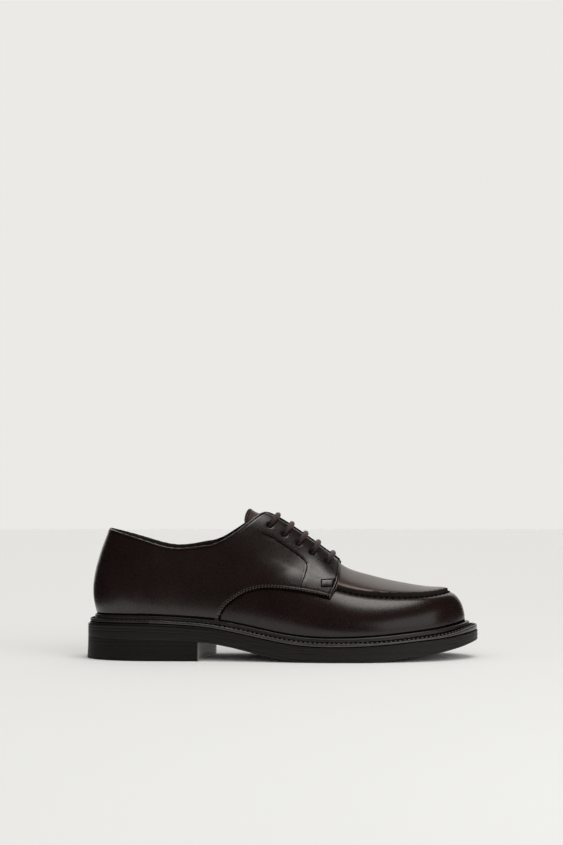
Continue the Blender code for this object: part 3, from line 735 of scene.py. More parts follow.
def rubber(name, dark, light, gloss, shine=0.3):
    """Sole edge: built from thin level layers that show as fine lines."""
    made, tree, shader = new_material(name, {"Specular IOR Level": shine})
    layers = noise(tree, 130.0, 4.0, 0.65, (0.05, 0.05, 4.5))
    colour_by(tree, shader, ramp(tree, layers, 0.3, 0.7), dark, light)
    roughness_by(tree, shader, 600.0, gloss - 0.05, gloss + 0.07)
    fine = add_bump(tree, shader, noise(tree, 900.0, 3.0, 0.6), 0.0003, 0.12)
    add_bump(tree, shader, layers, 0.0008, 0.4, fine)
    return made


def thread(name, colour, gloss, shine=0.5):
    made, tree, shader = new_material(name, {"Roughness": gloss, "Specular IOR Level": shine})
    shade = ramp(tree, noise(tree, 900.0, 2.0), 0.3, 0.7)
    colour_by(tree, shader, shade, [c * 0.7 for c in colour], colour)
    add_bump(tree, shader, noise(tree, 2600.0, 2.0), 0.0002, 0.3)
    return made


def lace_finish():
    """Round waxed cord with a fine plait; its colour also darkens towards the eyelets as painted shade."""
    made, tree, shader = new_material("lace_cord", {"Roughness": 0.5, "Specular IOR Level": 0.2})
    strand = node(tree, "ShaderNodeAttribute", attribute_name="plait")
    colour_by(tree, shader, ramp(tree, strand.outputs["Fac"], -1.0, 1.0), LACE_DARK, LACE_LIGHT)
    add_bump(tree, shader, noise(tree, 3200.0, 2.0), 0.0002, 0.25)
    return made


# Finishes, with their dark and light tones in linear colour
BROWN = ((0.0072, 0.0032, 0.0025), (0.0096, 0.0043, 0.0034))
# LACE_DARK is reached only at the eyelets, as painted shade; the cord's own tone runs up to LACE_LIGHT
LACE_DARK, LACE_LIGHT = (0.008, 0.0050, 0.0048), (0.100, 0.068, 0.068)
VAMP = leather("vamp_leather", *BROWN, 0.26, grain=0.01)
# The plug is the vamp's leather in a lighter, warmer tone: a painted reflection
PLUG_PAINTED_REFLECTION = leather("plug_leather_painted_reflection", (0.017, 0.0082, 0.0060), (0.022, 0.0108, 0.0080), 0.30, grain=0.02,
               tint=(1.0, 0.84, 0.76))
QUARTER = leather("quarter_leather", *BROWN, 0.28, grain=0.008, shine=0.68)
TONGUE_FINISH = leather("tongue_leather", (0.036, 0.020, 0.017), (0.048, 0.028, 0.024), 0.40)
# Black of the cut edges, also used as painted shade: at the wall's foot, in the eyelets, along the quarters'
# cuts and in the welt's grooves
BLACK_EDGE_AND_SHADE = leather("black_edge_and_painted_shade", (0.0022, 0.0018, 0.0016), (0.0042, 0.0034, 0.0030), 0.62, 0.2, 0.0, 0.0)
# The lip's face in painted shade: a dark, nearly unreflecting copy of the leather
LIP_SHADE = leather("lip_painted_shade", (0.0110, 0.0085, 0.0068), (0.0180, 0.0140, 0.0115), 0.55, 0.2, 0.0, 0.03)
LINING = leather("lining_leather", (0.010, 0.0075, 0.006), (0.016, 0.012, 0.0095), 0.55, 0.2, 0.0)
SOCK = leather("sock_leather", (0.030, 0.018, 0.012), (0.042, 0.026, 0.018), 0.55, 0.2, 0.0)
WELT = leather("welt_leather", (0.0085, 0.0068, 0.0055), (0.013, 0.0105, 0.0085), 0.36, 0.12, 0.1)
# The welt's edge in a lighter tone: a painted highlight along it
WELT_EDGE_HIGHLIGHT = leather("welt_edge_painted_highlight", (0.019, 0.0165, 0.0135), (0.027, 0.0235, 0.0195), 0.25, 0.08, 0.1, 0.8)
SOLE = rubber("sole_rubber", (0.0036, 0.0032, 0.0022), (0.0095, 0.0086, 0.0064), 0.45)
# The heel is the sole's rubber in a darker tone: painted shade
HEEL_PAINTED_SHADE = rubber("heel_rubber", (0.0030, 0.0027, 0.0019), (0.0080, 0.0072, 0.0054), 0.5, 0.2)
# The breast's light tone is painted reflection and light on the heel's dark rubber
BREAST_PAINTED_LIGHT = rubber("heel_breast_painted_light", (0.26, 0.25, 0.21), (0.34, 0.325, 0.275), 0.5)
THREAD = thread("upper_thread", (0.085, 0.062, 0.052), 0.6)
DARK_THREAD = thread("dark_thread", (0.0035, 0.0026, 0.0024), 0.6, 0.02)
WELT_THREAD = thread("welt_thread", (0.068, 0.058, 0.050), 0.55)
HEEL_THREAD = thread("heel_thread", (0.020, 0.017, 0.015), 0.6, 0.2)
LACE = lace_finish()


def surface_play(points, amount, seed):
    """Slight unevenness of real leather, in millimetres."""
    return amount * soft_noise(points, 34.0, seed) + 0.35 * amount * soft_noise(points, 13.0, seed + 1)


def hollow(distance, at, deep, wide):
    """Soft furrow along a line at a distance."""
    return -deep * np.exp(-((distance - at) / wide) ** 2)


# Vamp: wall, raised seam and plug, with the lining inside

WALL_STEPS, PLUG_STEPS = 26, 22
NEAR_SEAM = (-3.2, -2.2, -1.5, -1.05, -0.8, -0.6, -0.42, -0.28, -0.15, -0.03, 0.08, 0.2, 0.32, 0.44, 0.54,
             0.64, 0.76, 0.92, 1.15, 1.5, 2.0, 2.6, 3.3, 4.2)
# The lip's face, painted dark as shade, reaches from its foot to its top edge, in millimetres past the seam
LIP_SHADE_FROM, LIP_SHADE_TO = -0.2, 2.3
# Height of the black band of painted shade where the vamp and the quarters meet the welt
FOOT_SHADE, QUARTER_FOOT_SHADE = 0.5, 1.25
# The wall rolls in towards the seam: depth, and reach down the wall and up the plug
SEAM_ROLL, ROLL_DOWN, ROLL_UP = 0.65, 3.0, 2.6
# Pinched groove at the lip's foot: distance past the seam, depth and half width
SEAM_GROOVE = (-0.3, 0.55, 0.35)
# Reach of the plug's gentle fall from the lip: share of its half width, and limits
PLUG_FALL, PLUG_FALL_LEAST, PLUG_FALL_MOST = 0.95, 11.0, 26.0


def plug_reach(s):
    """Level distance from the shoulder to the crest."""
    row = stations_at(s)
    return np.maximum(np.hypot(row.crest_x - row.top_x, CREST_Y - row.top_y), PLUG_FALL_LEAST)


def seam_profile(s, past):
    """Height of the raised seam: a pinched groove, a steep lip, then the plug that falls gently from it."""
    groove = hollow(past, *SEAM_GROOVE)
    rise = smooth_step(-0.08, 1.0, past)
    fall = 1 - smooth_step(0.8, np.clip(PLUG_FALL * plug_reach(s), PLUG_FALL_LEAST, PLUG_FALL_MOST), past)
    roll = -SEAM_ROLL * np.exp(-(past / np.where(past < 0, ROLL_DOWN, ROLL_UP)) ** 2)
    return groove + roll + LIP_HEIGHT * rise * fall


def wall_height(s):
    """Length of the wall from the feather edge to the shoulder."""
    row = stations_at(s)
    level = np.hypot(row.top_x - row.base_x, row.top_y - row.base_y)
    return np.hypot(level, row.top_z - smooth_profile(FEATHER, row.base_x))


def seam_distance(s, v):
    """Distance past the raised seam: up the plug, or down the wall where it is negative."""
    return np.where(v <= 1, (v - 1) * wall_height(s), past_seam(s, v))


def vamp_height(s, v):
    return seam_profile(s, seam_distance(s, v)) * smooth_step(LIP_STARTS, LIP_FULL, toe_share(s))


def vamp_finish(past, high, share):
    """Finish of a face by its height on the wall and how far it lies past the seam.

    Wall leather is 0, painted shade at its foot 2, the lip's face in painted shade 3 and the plug 4, whose
    lighter tone is a painted reflection.
    """
    if high < FOOT_SHADE:
        return 2
    if share < LIP_STARTS - 0.2 or past < LIP_SHADE_FROM:
        return 0
    return 3 if past < LIP_SHADE_TO else 4


def vamp_rows(s):
    """v of each row of the vamp's fine grid at s: even behind, close together at the raised seam in front."""
    reach, edge = plug_reach(s), edge_v(s)
    near = [1 + p / (wall_height(s) if p <= 0 else reach) for p in NEAR_SEAM]
    first = FOOT_SHADE / wall_height(s)
    wall = [0 * first] + [first + (near[0] - first) * k / WALL_STEPS for k in range(WALL_STEPS)]
    plug = [near[-1] + (edge - near[-1]) * k / PLUG_STEPS for k in range(1, PLUG_STEPS + 1)]
    front = wall + near + plug
    behind = [0 * first] + [first + (edge - first) * k / (len(front) - 2) for k in range(len(front) - 1)]
    mix = smooth_step(4.2, 6.4, toe_share(s))
    return np.stack([(1 - mix) * b + mix * f for b, f in zip(behind, front)], axis=-1)


def vamp_face(s, v):
    points = surface(s, v)
    play = surface_play(points, 0.05, 3) * smooth_step(0, 0.12, v) * (1 - 0.7 * smooth_step(0.9, 1.05, v))
    return points + (vamp_height(s, v) + play)[..., None] * normal(s, v)


def vamp_grids(side):
    """Grids of the vamp's outer and inner face on one side: the wall with the plug, then the closed toe."""
    columns = [np.linspace(0, 6, 49), np.linspace(6, TOE, 109), [THROAT_END]]
    share = np.unique(np.concatenate(columns).round(6))
    s = in_ring(side, share)
    v = vamp_rows(s)
    station = np.repeat(s[:, None], v.shape[1], axis=1)
    outer, inner = vamp_face(station, v), surface(station, v) - WALL * normal(station, v)
    drop = np.array([0.0, 0.0, WELT_HEIGHT])
    foot, inside = feather_edge(s), feather_edge(s) - WALL * outward(s)
    inner[:, 0] = inside
    outer = np.concatenate([(foot - drop)[:, None], outer], axis=1)
    inner = np.concatenate([(inside - drop)[:, None], inner], axis=1)
    wall_past = np.concatenate([np.full((len(s), 1), -99.0), seam_distance(station, v)], axis=1)
    ahead = s[share >= THROAT_END - 1e-5]
    v = np.stack([edge_v(ahead) * (1 - k / 7) + 2 * k / 7 for k in range(8)], axis=-1)
    station = np.repeat(ahead[:, None], 8, axis=1)
    closed = (vamp_face(station, v), surface(station, v) - WALL * normal(station, v), side == "medial")
    pasts = np.concatenate([wall_past.ravel(), np.full(v.size, 99.0)])
    shares = np.concatenate([np.repeat(share, wall_past.shape[1]), toe_share(station).ravel()])
    highs = np.concatenate([(wall_past + wall_height(s)[:, None]).ravel(), np.full(v.size, 99.0)])
    return [(outer, inner, side == "medial"), closed], pasts, highs, shares


def make_vamp():
    parts = [vamp_grids(side) for side in ("lateral", "medial")]
    outer, inner, quads = join_grids(parts[0][0] + parts[1][0])
    points, faces = shell(outer, inner, quads)
    kept, _ = weld(outer, quads)
    measures = [np.concatenate([part[k] for part in parts])[kept] for k in (1, 2, 3)]
    half = len(kept)
    finish = []
    for face in faces:
        corners = list(face)
        if max(corners) < half:
            finish.append(vamp_finish(*(each[corners].mean() for each in measures)))
        else:
            finish.append(1 if min(corners) >= half else 2)
    finishes = (VAMP, LINING, BLACK_EDGE_AND_SHADE, LIP_SHADE, PLUG_PAINTED_REFLECTION)
    return add_piece("vamp", points, faces, finishes, finish, ["upper"], "vamp_leather")


# Quarters

EDGE_NEAR = (0.0, 0.2, 0.5, 0.85, 0.98, 1.1, 1.25, 1.5, 1.9, 2.3, 2.6, 2.9, 3.2, 3.6, 4.2, 5.2)
# A cut edge steps down to a lower band, which reaches the cut line and is painted black as shade; the
# collar's edge is folded round
STEP_AT, STEP_ROUND, STEP_DROP = 1.0, 0.3, 0.8
FOLD_ROUND = 1.1
# Width of the painted shade along the front edge
FRONT_EDGE_SHADE = 0.35
# Eyelets: depth and radius of the hole, and how far black painted shade reaches round its middle
EYELET_DEEP, EYELET_RADIUS, EYELET_SHADE = 1.1, 1.6, 2.35
THROAT_FROM = 138.0
MEDIAL_SLIM = 1.0
# Stitch rows in millimetres from the edge that they follow, and how they sink into the leather
SEAM_ROWS = (1.75, 3.2)
FRONT_ROW = 2.7
COLLAR_ROW = 1.9
STITCH_PITCH = 2.4
ROW_DEEP, ROW_WIDE = 0.2, 0.4
LIGHT_STITCH, STITCH_HOLE_SHADE = Stitch(1.55, 0.34, 0.05), Stitch(0.7, 0.36, -0.12)
# Radius and height of the dark threads along the front edge, the collar, the facing line and the box tack
FRONT_CORD, COLLAR_CORD, FACING_CORD, BOX_CORD = (0.36, -0.15), (0.27, -0.03), (0.48, -0.1), (0.52, -0.05)
CORD_STEP = 0.8
# Curved stitched line on the facing, and the box tack, seen from the side, rows of (x, z)
FACING_LINE = ((133.5, 96.6), (142.8, 92.6), (154.1, 84.8), (159.4, 81.1), (165.2, 76.8), (168.0, 73.1),
               (168.2, 69.9), (166.4, 64.0), (163.7, 58.2), (163.5, 55.4))
FACING_STEP, FACING_GROOVE = 0.35, 0.3
# Soft swell of the quarter behind the facing line: distance, height and half width
FACING_SWELL = (-9.0, 0.4, 8.5)
BOX_TACK = ((178.9, 61.3), (189.2, 61.7), (187.0, 56.5), (179.1, 56.3))
BOX_PUFF = 0.25

QuarterGrid = namedtuple("QuarterGrid", "s v flat seam front throat fold behind")


def edge_shares(total, count, first=True, last=True):
    """Shares of a length: close together at its ends, even between."""
    near = np.asarray(EDGE_NEAR) / total
    low = near if first else np.zeros(1)
    high = 1 - near[::-1] if last else np.ones(1)
    return np.concatenate([low, np.linspace(low[-1], high[0], count + 2)[1:-1], high])


def on_side(side, rows):
    return np.stack([in_ring(side, rows[:, 0]), rows[:, 1]], axis=-1)


def border_lines(side):
    """Fine lines of (s, v) along a quarter's seam, front edge, throat edge and folded edge."""
    fine = np.linspace(0, 1, 500)
    seam, front, rim = (on_side(side, spaced(line, fine)) for line in quarter_borders(side)[1:])
    ahead = quarter_face(*rim.T)[:, 0] > THROAT_FROM
    return seam, front, rim[ahead], rim[~ahead]


def quarter_grid(side):
    """Places (s, v) of a quarter's fine grid, and each point's distances to its edges."""
    base, seam, front, rim = quarter_borders(side)
    behind, ahead = edge_shares(118, 62, last=False), edge_shares(95, 74, first=False)
    rows = edge_shares(62, 40)
    low = np.vstack([spaced(base, behind), spaced(seam, ahead)[1:]])
    split = int(len(rim) * 0.53)
    high = np.vstack([spaced(rim[:split + 1], behind), spaced(rim[split:], ahead)[1:]])
    p = np.concatenate([behind * len(behind), len(behind) + ahead[1:] * len(ahead)])
    p = (p / p[-1])[:, None, None]
    q = rows[None, :, None]
    first = spaced([low[0], high[0]], rows)
    last = spaced(front, rows)
    corners = (1 - p) * ((1 - q) * low[0] + q * high[0]) + p * ((1 - q) * low[-1] + q * high[-1])
    place = (1 - q) * low[:, None] + q * high[:, None] + (1 - p) * first[None] + p * last[None] - corners
    s, v = in_ring(side, place[..., 0]), place[..., 1]
    flat = quarter_face(s, v)
    away = [distance_to(flat, quarter_face(*line.T)) for line in border_lines(side)]
    return QuarterGrid(s, v, flat, *away, len(behind))


def eyelet_points(side):
    return quarter_face(*on_side(side, eyelets(side)).T)


def beside_line(points, rows):
    """Distance in side view from a line of (x, z), positive ahead of it, and the run along it."""
    run = runs(rows)
    at = np.linspace(0, run[-1], 160)
    line = drawn(rows, run, at)
    along = unit(np.gradient(line, axis=0))
    seen = points[..., [0, 2]].reshape(-1, 1, 2)
    near = np.argmin(((seen - line) ** 2).sum(-1), axis=1)
    off = seen[:, 0] - line[near]
    side = along[near, 0] * off[:, 1] - along[near, 1] * off[:, 0]
    ahead = (off * along[near]).sum(-1)
    shape = points.shape[:-1]
    return (np.sign(side) * np.hypot(*off.T)).reshape(shape), (at[near] + ahead).reshape(shape)


def facing_relief(points):
    """The facing lies on a stay and stands a little higher, with a furrow along its stitched line."""
    side, run = beside_line(points, FACING_LINE)
    shown = smooth_step(-12, 6, run)
    at, high_by, wide = FACING_SWELL
    step = FACING_STEP * smooth_step(-0.7, 0.7, side) + hollow(side, 0.0, FACING_GROOVE, 0.5)
    step = step - hollow(side, at, high_by, wide) * smooth_step(0, 20, run)
    x, z = points[..., 0], points[..., 2]
    (left, low), (right, high) = BOX_TACK[3], BOX_TACK[1]
    box = smooth_step(0, 1.4, x - left) * smooth_step(0, 1.4, right - 1 - x)
    box = box * smooth_step(0, 1.4, z - low) * smooth_step(0, 1.4, high - z)
    return step * shown + BOX_PUFF * box


def quarter_height(grid, side):
    """Height of the quarter's outer face over the last, with its edges, stitch rows, facing and eyelets."""
    cover = lip_cover(grid.s, grid.v)
    cut = np.minimum(np.minimum(grid.seam, grid.front), grid.throat)
    fold = rounded(grid.fold, FOLD_ROUND)
    thick = quarter_lift(grid.s, grid.v) - cover
    if side == "medial":
        thick = thick - MEDIAL_SLIM * (1 - smooth_step(4, 12, grid.throat)) * smooth_step(2, 14, grid.front)
    thick = thick - STEP_DROP * (1 - smooth_step(STEP_AT, STEP_AT + STEP_ROUND, cut))
    height = np.maximum(thick, 0.15) * (0.12 + 0.88 * fold)
    for row in SEAM_ROWS:
        height = height + hollow(grid.seam, row, ROW_DEEP, ROW_WIDE)
    height = height + hollow(grid.front, FRONT_ROW, ROW_DEEP, ROW_WIDE)
    height = height + hollow(grid.fold, COLLAR_ROW, ROW_DEEP, ROW_WIDE)
    inside = smooth_step(0.5, 6, np.minimum(cut, grid.fold))
    height = height + facing_relief(grid.flat) * smooth_step(1.3, 1.8, cut)
    height = height + surface_play(grid.flat, 0.06, 11) * inside
    for centre in eyelet_points(side):
        away = length(grid.flat - centre)[..., 0]
        height = height - EYELET_DEEP * np.exp(-(away / EYELET_RADIUS) ** 4)
    return cover + 0.08 + height


def quarter_finish(face, half, cut, front, high, hole):
    """Finish of a face: leather 0, or black 1, painted shade at the foot, in the eyelets and in a band along
    each cut edge.
    """
    corners = list(face)
    if max(corners) >= half:
        return 1
    to_cut, ahead, up, eyelet = (measure[corners].mean() for measure in (cut, front, high, hole))
    # Painted shade: black at the quarter's foot and in the eyelets
    if up < QUARTER_FOOT_SHADE or eyelet < EYELET_SHADE:
        return 1
    # Painted shade along a cut edge: over the whole step at the seam and throat edges, hiding its highlight,
    # and a narrow band at the front edge
    away_from_front = ahead > to_cut + 0.2
    return int(to_cut < (STEP_AT + STEP_ROUND + 0.1 if away_from_front else FRONT_EDGE_SHADE))


def make_quarter_piece(side):
    """Quarter's shell; gives back a search tree of its outer face for what lies on it."""
    grid = quarter_grid(side)
    outer = raised(grid.s, grid.v, quarter_height(grid, side))
    inner = raised(grid.s, grid.v, lip_cover(grid.s, grid.v) + 0.06)
    foot_s = grid.s[:grid.behind, 0]
    foot, out = feather_edge(foot_s), outward(foot_s)
    drop = np.array([0.0, 0.0, 5.0])
    hem_out = np.stack([foot + out * (GAP + QUARTER_THICK) - drop, outer[:grid.behind, 0]], axis=1)
    hem_in = np.stack([foot + out * 0.2 - drop, inner[:grid.behind, 0]], axis=1)
    flip = side == "medial"
    sheet, lining, quads = join_grids([(outer, inner, flip), (hem_out, hem_in, flip)])
    points, faces = shell(sheet, lining, quads)
    kept, _ = weld(sheet, quads)
    cut = np.minimum(np.minimum(grid.seam, grid.front), grid.throat)
    away = [np.concatenate([d.ravel(), np.full(2 * grid.behind, beyond)])[kept]
            for d, beyond in ((cut, 99.0), (grid.front, 99.0), (grid.v * wall_height(grid.s), 0.0),
                              (distance_to(grid.flat, eyelet_points(side)), 99.0))]
    finish = [quarter_finish(face, len(kept), *away) for face in faces]
    add_piece("quarter_" + side + "_leather", points, faces, (QUARTER, BLACK_EDGE_AND_SHADE), finish,
              ["quarter_" + side], "quarter_leather")
    return BVHTree.FromPolygons(sheet.tolist(), quads)


def settled(tree, points, along, out):
    """Places along a row brought onto a piece's real face."""
    return np.array([tree.find_nearest(place)[0] for place in points]), along, out


def make_quarter_stitches(side, tree):
    """Light stitch rows along the seam, the dark threads, and dark spots of painted shade in the stitch holes
    between the stitches.
    """
    seam, front, _, collar = (line[::6] for line in border_lines(side))
    sign = 1.0 if side == "lateral" else -1.0

    def row(line, distance, pitch):
        moved = shifted(line, distance * sign, quarter_face) if distance else line
        return settled(tree, *along_face(quarter_face, moved, pitch))

    def drawn_row(places, count):
        return row(on_side(side, spaced(places, np.linspace(0, 1, count))), 0.0, CORD_STEP)

    light, dark = [], []
    for distance in SEAM_ROWS:
        points, along, out = row(seam, distance, STITCH_PITCH)
        light.append(stitch_mesh(points, along, out, LIGHT_STITCH))
        # Dark stitches between the light ones: painted shade in the stitch holes
        dark.append(stitch_mesh(points + along * STITCH_PITCH / 2, along, out, STITCH_HOLE_SHADE))
    dark.append(cord_mesh(*row(front[3:], FRONT_ROW, CORD_STEP), *FRONT_CORD))
    dark.append(cord_mesh(*row(collar[2:-1], -COLLAR_ROW, 1.5 * CORD_STEP), *COLLAR_CORD))
    dark.append(cord_mesh(*drawn_row(to_share(locate(quarter_face, FACING_LINE, side)), 80), *FACING_CORD))
    box = to_share(locate(quarter_face, BOX_TACK, side))
    for ends in ((0, 1), (3, 0), (3, 2), (1, 2)):
        dark.append(cord_mesh(*drawn_row(box[list(ends)], 12), *BOX_CORD))
    add_piece("quarter_" + side + "_stitches", *merge(light), (THREAD,), None, None, "quarter_leather")
    add_piece("facing_" + side + "_stitches", *merge(dark), (DARK_THREAD,), None, None, "quarter_leather")


# Raised seam: the row of stitches at its foot

SEAM_STITCH = Stitch(3.0, 0.75, 0.2)
# The row lies this far under the seam
SEAM_STITCH_LOW, SEAM_STITCH_PITCH = 0.95, 4.7


def make_seam_stitches():
    share = np.linspace(LIP_STARTS + 0.25, TOE, 160)
    ring = np.concatenate([share, RING - share[-2::-1]])
    line = np.stack([ring, 1 - SEAM_STITCH_LOW / wall_height(ring)], axis=-1)
    mesh = stitch_mesh(*along_face(vamp_face, line, SEAM_STITCH_PITCH), SEAM_STITCH)
    add_piece("seam_stitches", *mesh, (DARK_THREAD,), None, None, "vamp_leather")


# Tongue and insole

# Tongue: stitch rows from its free edge, how deep it lies, its flare at the top and its added length
TONGUE_ROWS = (1.1, 2.5)
TONGUE_CORD = (0.36, -0.05)
TONGUE_ROUND = 0.9
TONGUE_SET, TONGUE_FLARE, TONGUE_LONGER = 0.9, 0.8, 0.03


def tongue_grid(side):
    """Outer and inner face of one half of the tongue, its normals and the distance to its free edge."""
    columns, rows = 64, 40
    v = np.linspace(1.3, 2.0, rows)
    edge = tongue_edge(v) - TONGUE_LONGER
    share = edge + (TONGUE_ROOT - edge) * np.linspace(0, 1, columns)[:, None] ** 1.6
    s, v = in_ring(side, share), np.broadcast_to(v, share.shape)
    out, flat = normal(s, v), surface(s, v)
    reach = length(flat - flat[:1])[..., 0]
    soft = rounded(reach, TONGUE_ROUND)
    depth = WALL + TONGUE_GAP + TONGUE_SET + TONGUE_FLARE * smooth_step(1, 7, reach)
    outer = flat - (depth + (1 - soft) * 0.9)[..., None] * out
    inner = flat - (depth + TONGUE_THICK - (1 - soft) * 0.6)[..., None] * out
    return outer, inner, out, reach


def make_tongue_piece():
    halves = {side: tongue_grid(side) for side in ("lateral", "medial")}
    grids = [(outer, inner, side == "medial") for side, (outer, inner, _, _) in halves.items()]
    points, faces = shell(*join_grids(grids))
    half = len(points) // 2
    kind = [0 if max(f) < half else (1 if min(f) >= half else 2) for f in faces]
    finishes = (TONGUE_FINISH, LINING, BLACK_EDGE_AND_SHADE)
    add_piece("tongue_flap", points, faces, finishes, kind, ["tongue"], "tongue_leather")
    rows = []
    for outer, _, out, reach in halves.values():
        for distance in TONGUE_ROWS:
            at = [int(np.argmin(np.abs(reach[:, k] - distance))) for k in range(2, reach.shape[1])]
            line, up = (np.array([sheet[c, k + 2] for k, c in enumerate(at)]) for sheet in (outer, out))
            rows.append(cord_mesh(line, unit(np.gradient(line, axis=0)), up, *TONGUE_CORD))
    add_piece("tongue_stitches", *merge(rows), (DARK_THREAD,), None, None, "tongue_leather")


def make_sock():
    share = np.linspace(0, TOE, 97)
    edge = [feather_edge(s) - outward(s) * (WALL + GAP) for s in (share, RING - share)]
    bottom = across(*edge, count=25) - [0.0, 0.0, WELT_HEIGHT]
    t = np.linspace(-1, 1, 25)[None, :]
    dish = 0.5 * (1 - t**2)
    top = bottom + vectors(0.0, 0.0, INSOLE_THICK - dish)
    mesh = shell(*join_grids([(top, bottom, False)]))
    add_piece("sock", *mesh, (SOCK,), None, ["insole"], "sock_leather")


# Welt, sole and heel

WELT_COLUMNS = 480
WELT_STITCH_PITCH = 3.6
GROOVE, HEEL_GROOVE_RISE, TOE_GROOVE_DROP = -6.7, 0.8, 0.4
TOE_BEAD_DROP = 0.4
STITCH_SLOPE = 0.45
WELT_STITCH = Stitch(2.5, 0.52, 0.1, 0.6)
# Behind this station the welt's thread is dark
DARK_THREAD_TO = 4.3
# The edge has no painted highlight round the heel, up to this station
EDGE_HIGHLIGHT_FROM = 2.4


def welt_section(s):
    """Section of the welt from its inner foot over the bead and the stitched slope to the sole's top layer.

    Each row is (distance from the feather edge, height over it, finish of the band that ends there).
    """
    inside, outside = welt_inside(s) - 0.25, welt_outline(s)
    bead, (foot, ledge) = bead_edge(s, inside), welt_levels(s)
    middle, wide = (inside + bead) / 2, (bead - inside) / 2
    top = BEAD_TOP - TOE_BEAD_DROP * smooth_step(10.3, 11.6, toe_share(s))
    tall = 0.58 * (top - foot)
    # Finish 1 is black painted shade: behind the bead, down the stitched slope and in the groove under the
    # edge; finish 2 is the edge's painted highlight
    rows = [(inside, -WELT_HEIGHT, 1), (inside, -4.0, 1)]
    for angle in np.linspace(172, -28, 15):
        turn = math.radians(angle)
        finish = 1 if angle > 150 else 0
        rows.append((middle + wide * math.cos(turn), top - tall + tall * math.sin(turn), finish))
    slope = outside - bead
    rows += [(bead + 0.05 * slope, foot + 0.1, 0), (bead + 0.16 * slope, foot - 0.6, 1)]
    for t in np.linspace(0.24, 0.84, 8):
        furrow = 0.3 * math.sin(math.pi * (t - 0.2) / 0.68)
        rows.append((bead + t * slope, foot + (ledge - foot) * (0.2 + 0.8 * t) - furrow, 1))
    groove = edge_groove(s)
    for radius, level, angles in ((0.6, ledge - 0.6, (85, 0)), (0.3, groove + 0.3, (0, -85))):
        for turn in np.radians(np.linspace(*angles, 5)):
            rows.append((outside + radius * (math.cos(turn) - 1), level + radius * math.sin(turn), 2))
    for across_by, under in ((-0.9, 0.25), (-0.9, 0.55), (0.1, 0.85)):
        rows.append((outside + across_by, groove - under, 1))
    rows += [(outside + SOLE_PROUD, groove - 1.05, 3), (outside + SOLE_PROUD, 0.02 - WELT_HEIGHT, 3)]
    return rows


def edge_groove(s):
    """Height over the feather edge of the groove under the welt's edge, which is black as painted shade:
    higher at the heel.
    """
    share = toe_share(s)
    rise = HEEL_GROOVE_RISE * (1 - smooth_step(3.4, 4.8, share))
    return GROOVE + rise - TOE_GROOVE_DROP * smooth_step(9.5, 11, share)


def make_welt_piece():
    s = np.linspace(0, RING, WELT_COLUMNS + 1)[:-1]
    base, out = feather_edge(s), outward(s)
    rows = welt_section(s)
    points = np.stack([base + out * o[:, None] + vectors(0.0, 0.0, h + 0 * s) for o, h, _ in rows], axis=1)
    n, m = points.shape[:2]
    faces = [tuple(c % (n * m) for c in face) for face in ring_faces(n + 1, m)]
    bands = np.roll([finish for _, _, finish in rows], -1)
    # Finish 2, the edge's painted highlight, is left off round the heel
    no_highlight = toe_share(s)[:, None] < EDGE_HIGHLIGHT_FROM
    finish = np.where(no_highlight & (bands == 2), 0, bands).ravel()
    finishes = (WELT, BLACK_EDGE_AND_SHADE, WELT_EDGE_HIGHLIGHT, SOLE)
    add_piece("welt_strip", points.reshape(-1, 3), faces, finishes, finish, ["welt"], "welt_leather")


def welt_ledge(s):
    """Middle of the welt's stitched slope."""
    inside, outside = welt_inside(s) - 0.25, welt_outline(s)
    bead, (foot, ledge) = bead_edge(s, inside), welt_levels(s)
    lift = vectors(0.0, 0.0, foot + 0.57 * (ledge - foot) - 0.3)
    return feather_edge(s) + outward(s) * (bead + 0.5 * (outside - bead))[..., None] + lift


def make_welt_stitches():
    ring = np.linspace(0, RING, 4000)
    run = runs(welt_ledge(ring))
    count = int(run[-1] / WELT_STITCH_PITCH)
    s = np.interp(np.arange(count) * run[-1] / count, run, ring)
    step = 0.01
    along = unit(welt_ledge(s + step) - welt_ledge(s - step))
    out = outward(s) * math.sin(STITCH_SLOPE) + vectors(0.0, 0.0, math.cos(STITCH_SLOPE) + 0 * s)
    out = unit(out - (out * along).sum(-1, keepdims=True) * along)
    points, faces = stitch_mesh(welt_ledge(s), along, out, WELT_STITCH, around=8, steps=7)
    behind = np.repeat(toe_share(s) < DARK_THREAD_TO, len(faces) // count)
    add_piece("welt_stitches", points, faces, (WELT_THREAD, HEEL_THREAD), behind, None, "welt_leather")


# Lines round the sole's edge: millimetres below its top, depth and half width
SOLE_LINES = ((1.9, 0.16, 0.28), (4.1, 0.13, 0.28))
# Line above the floor round the heel and the forefoot: millimetres up, depth and half width
FLOOR_LINE = (2.4, 0.14, 0.3)
# Radius of the sole's lower edge, which is sharp over the heel, and of its upper edge
SOLE_ROUND, SOLE_ROUND_BEHIND, SOLE_TOP_ROUND = 0.9, 0.08, 0.12
HEEL_ROUND = 0.8


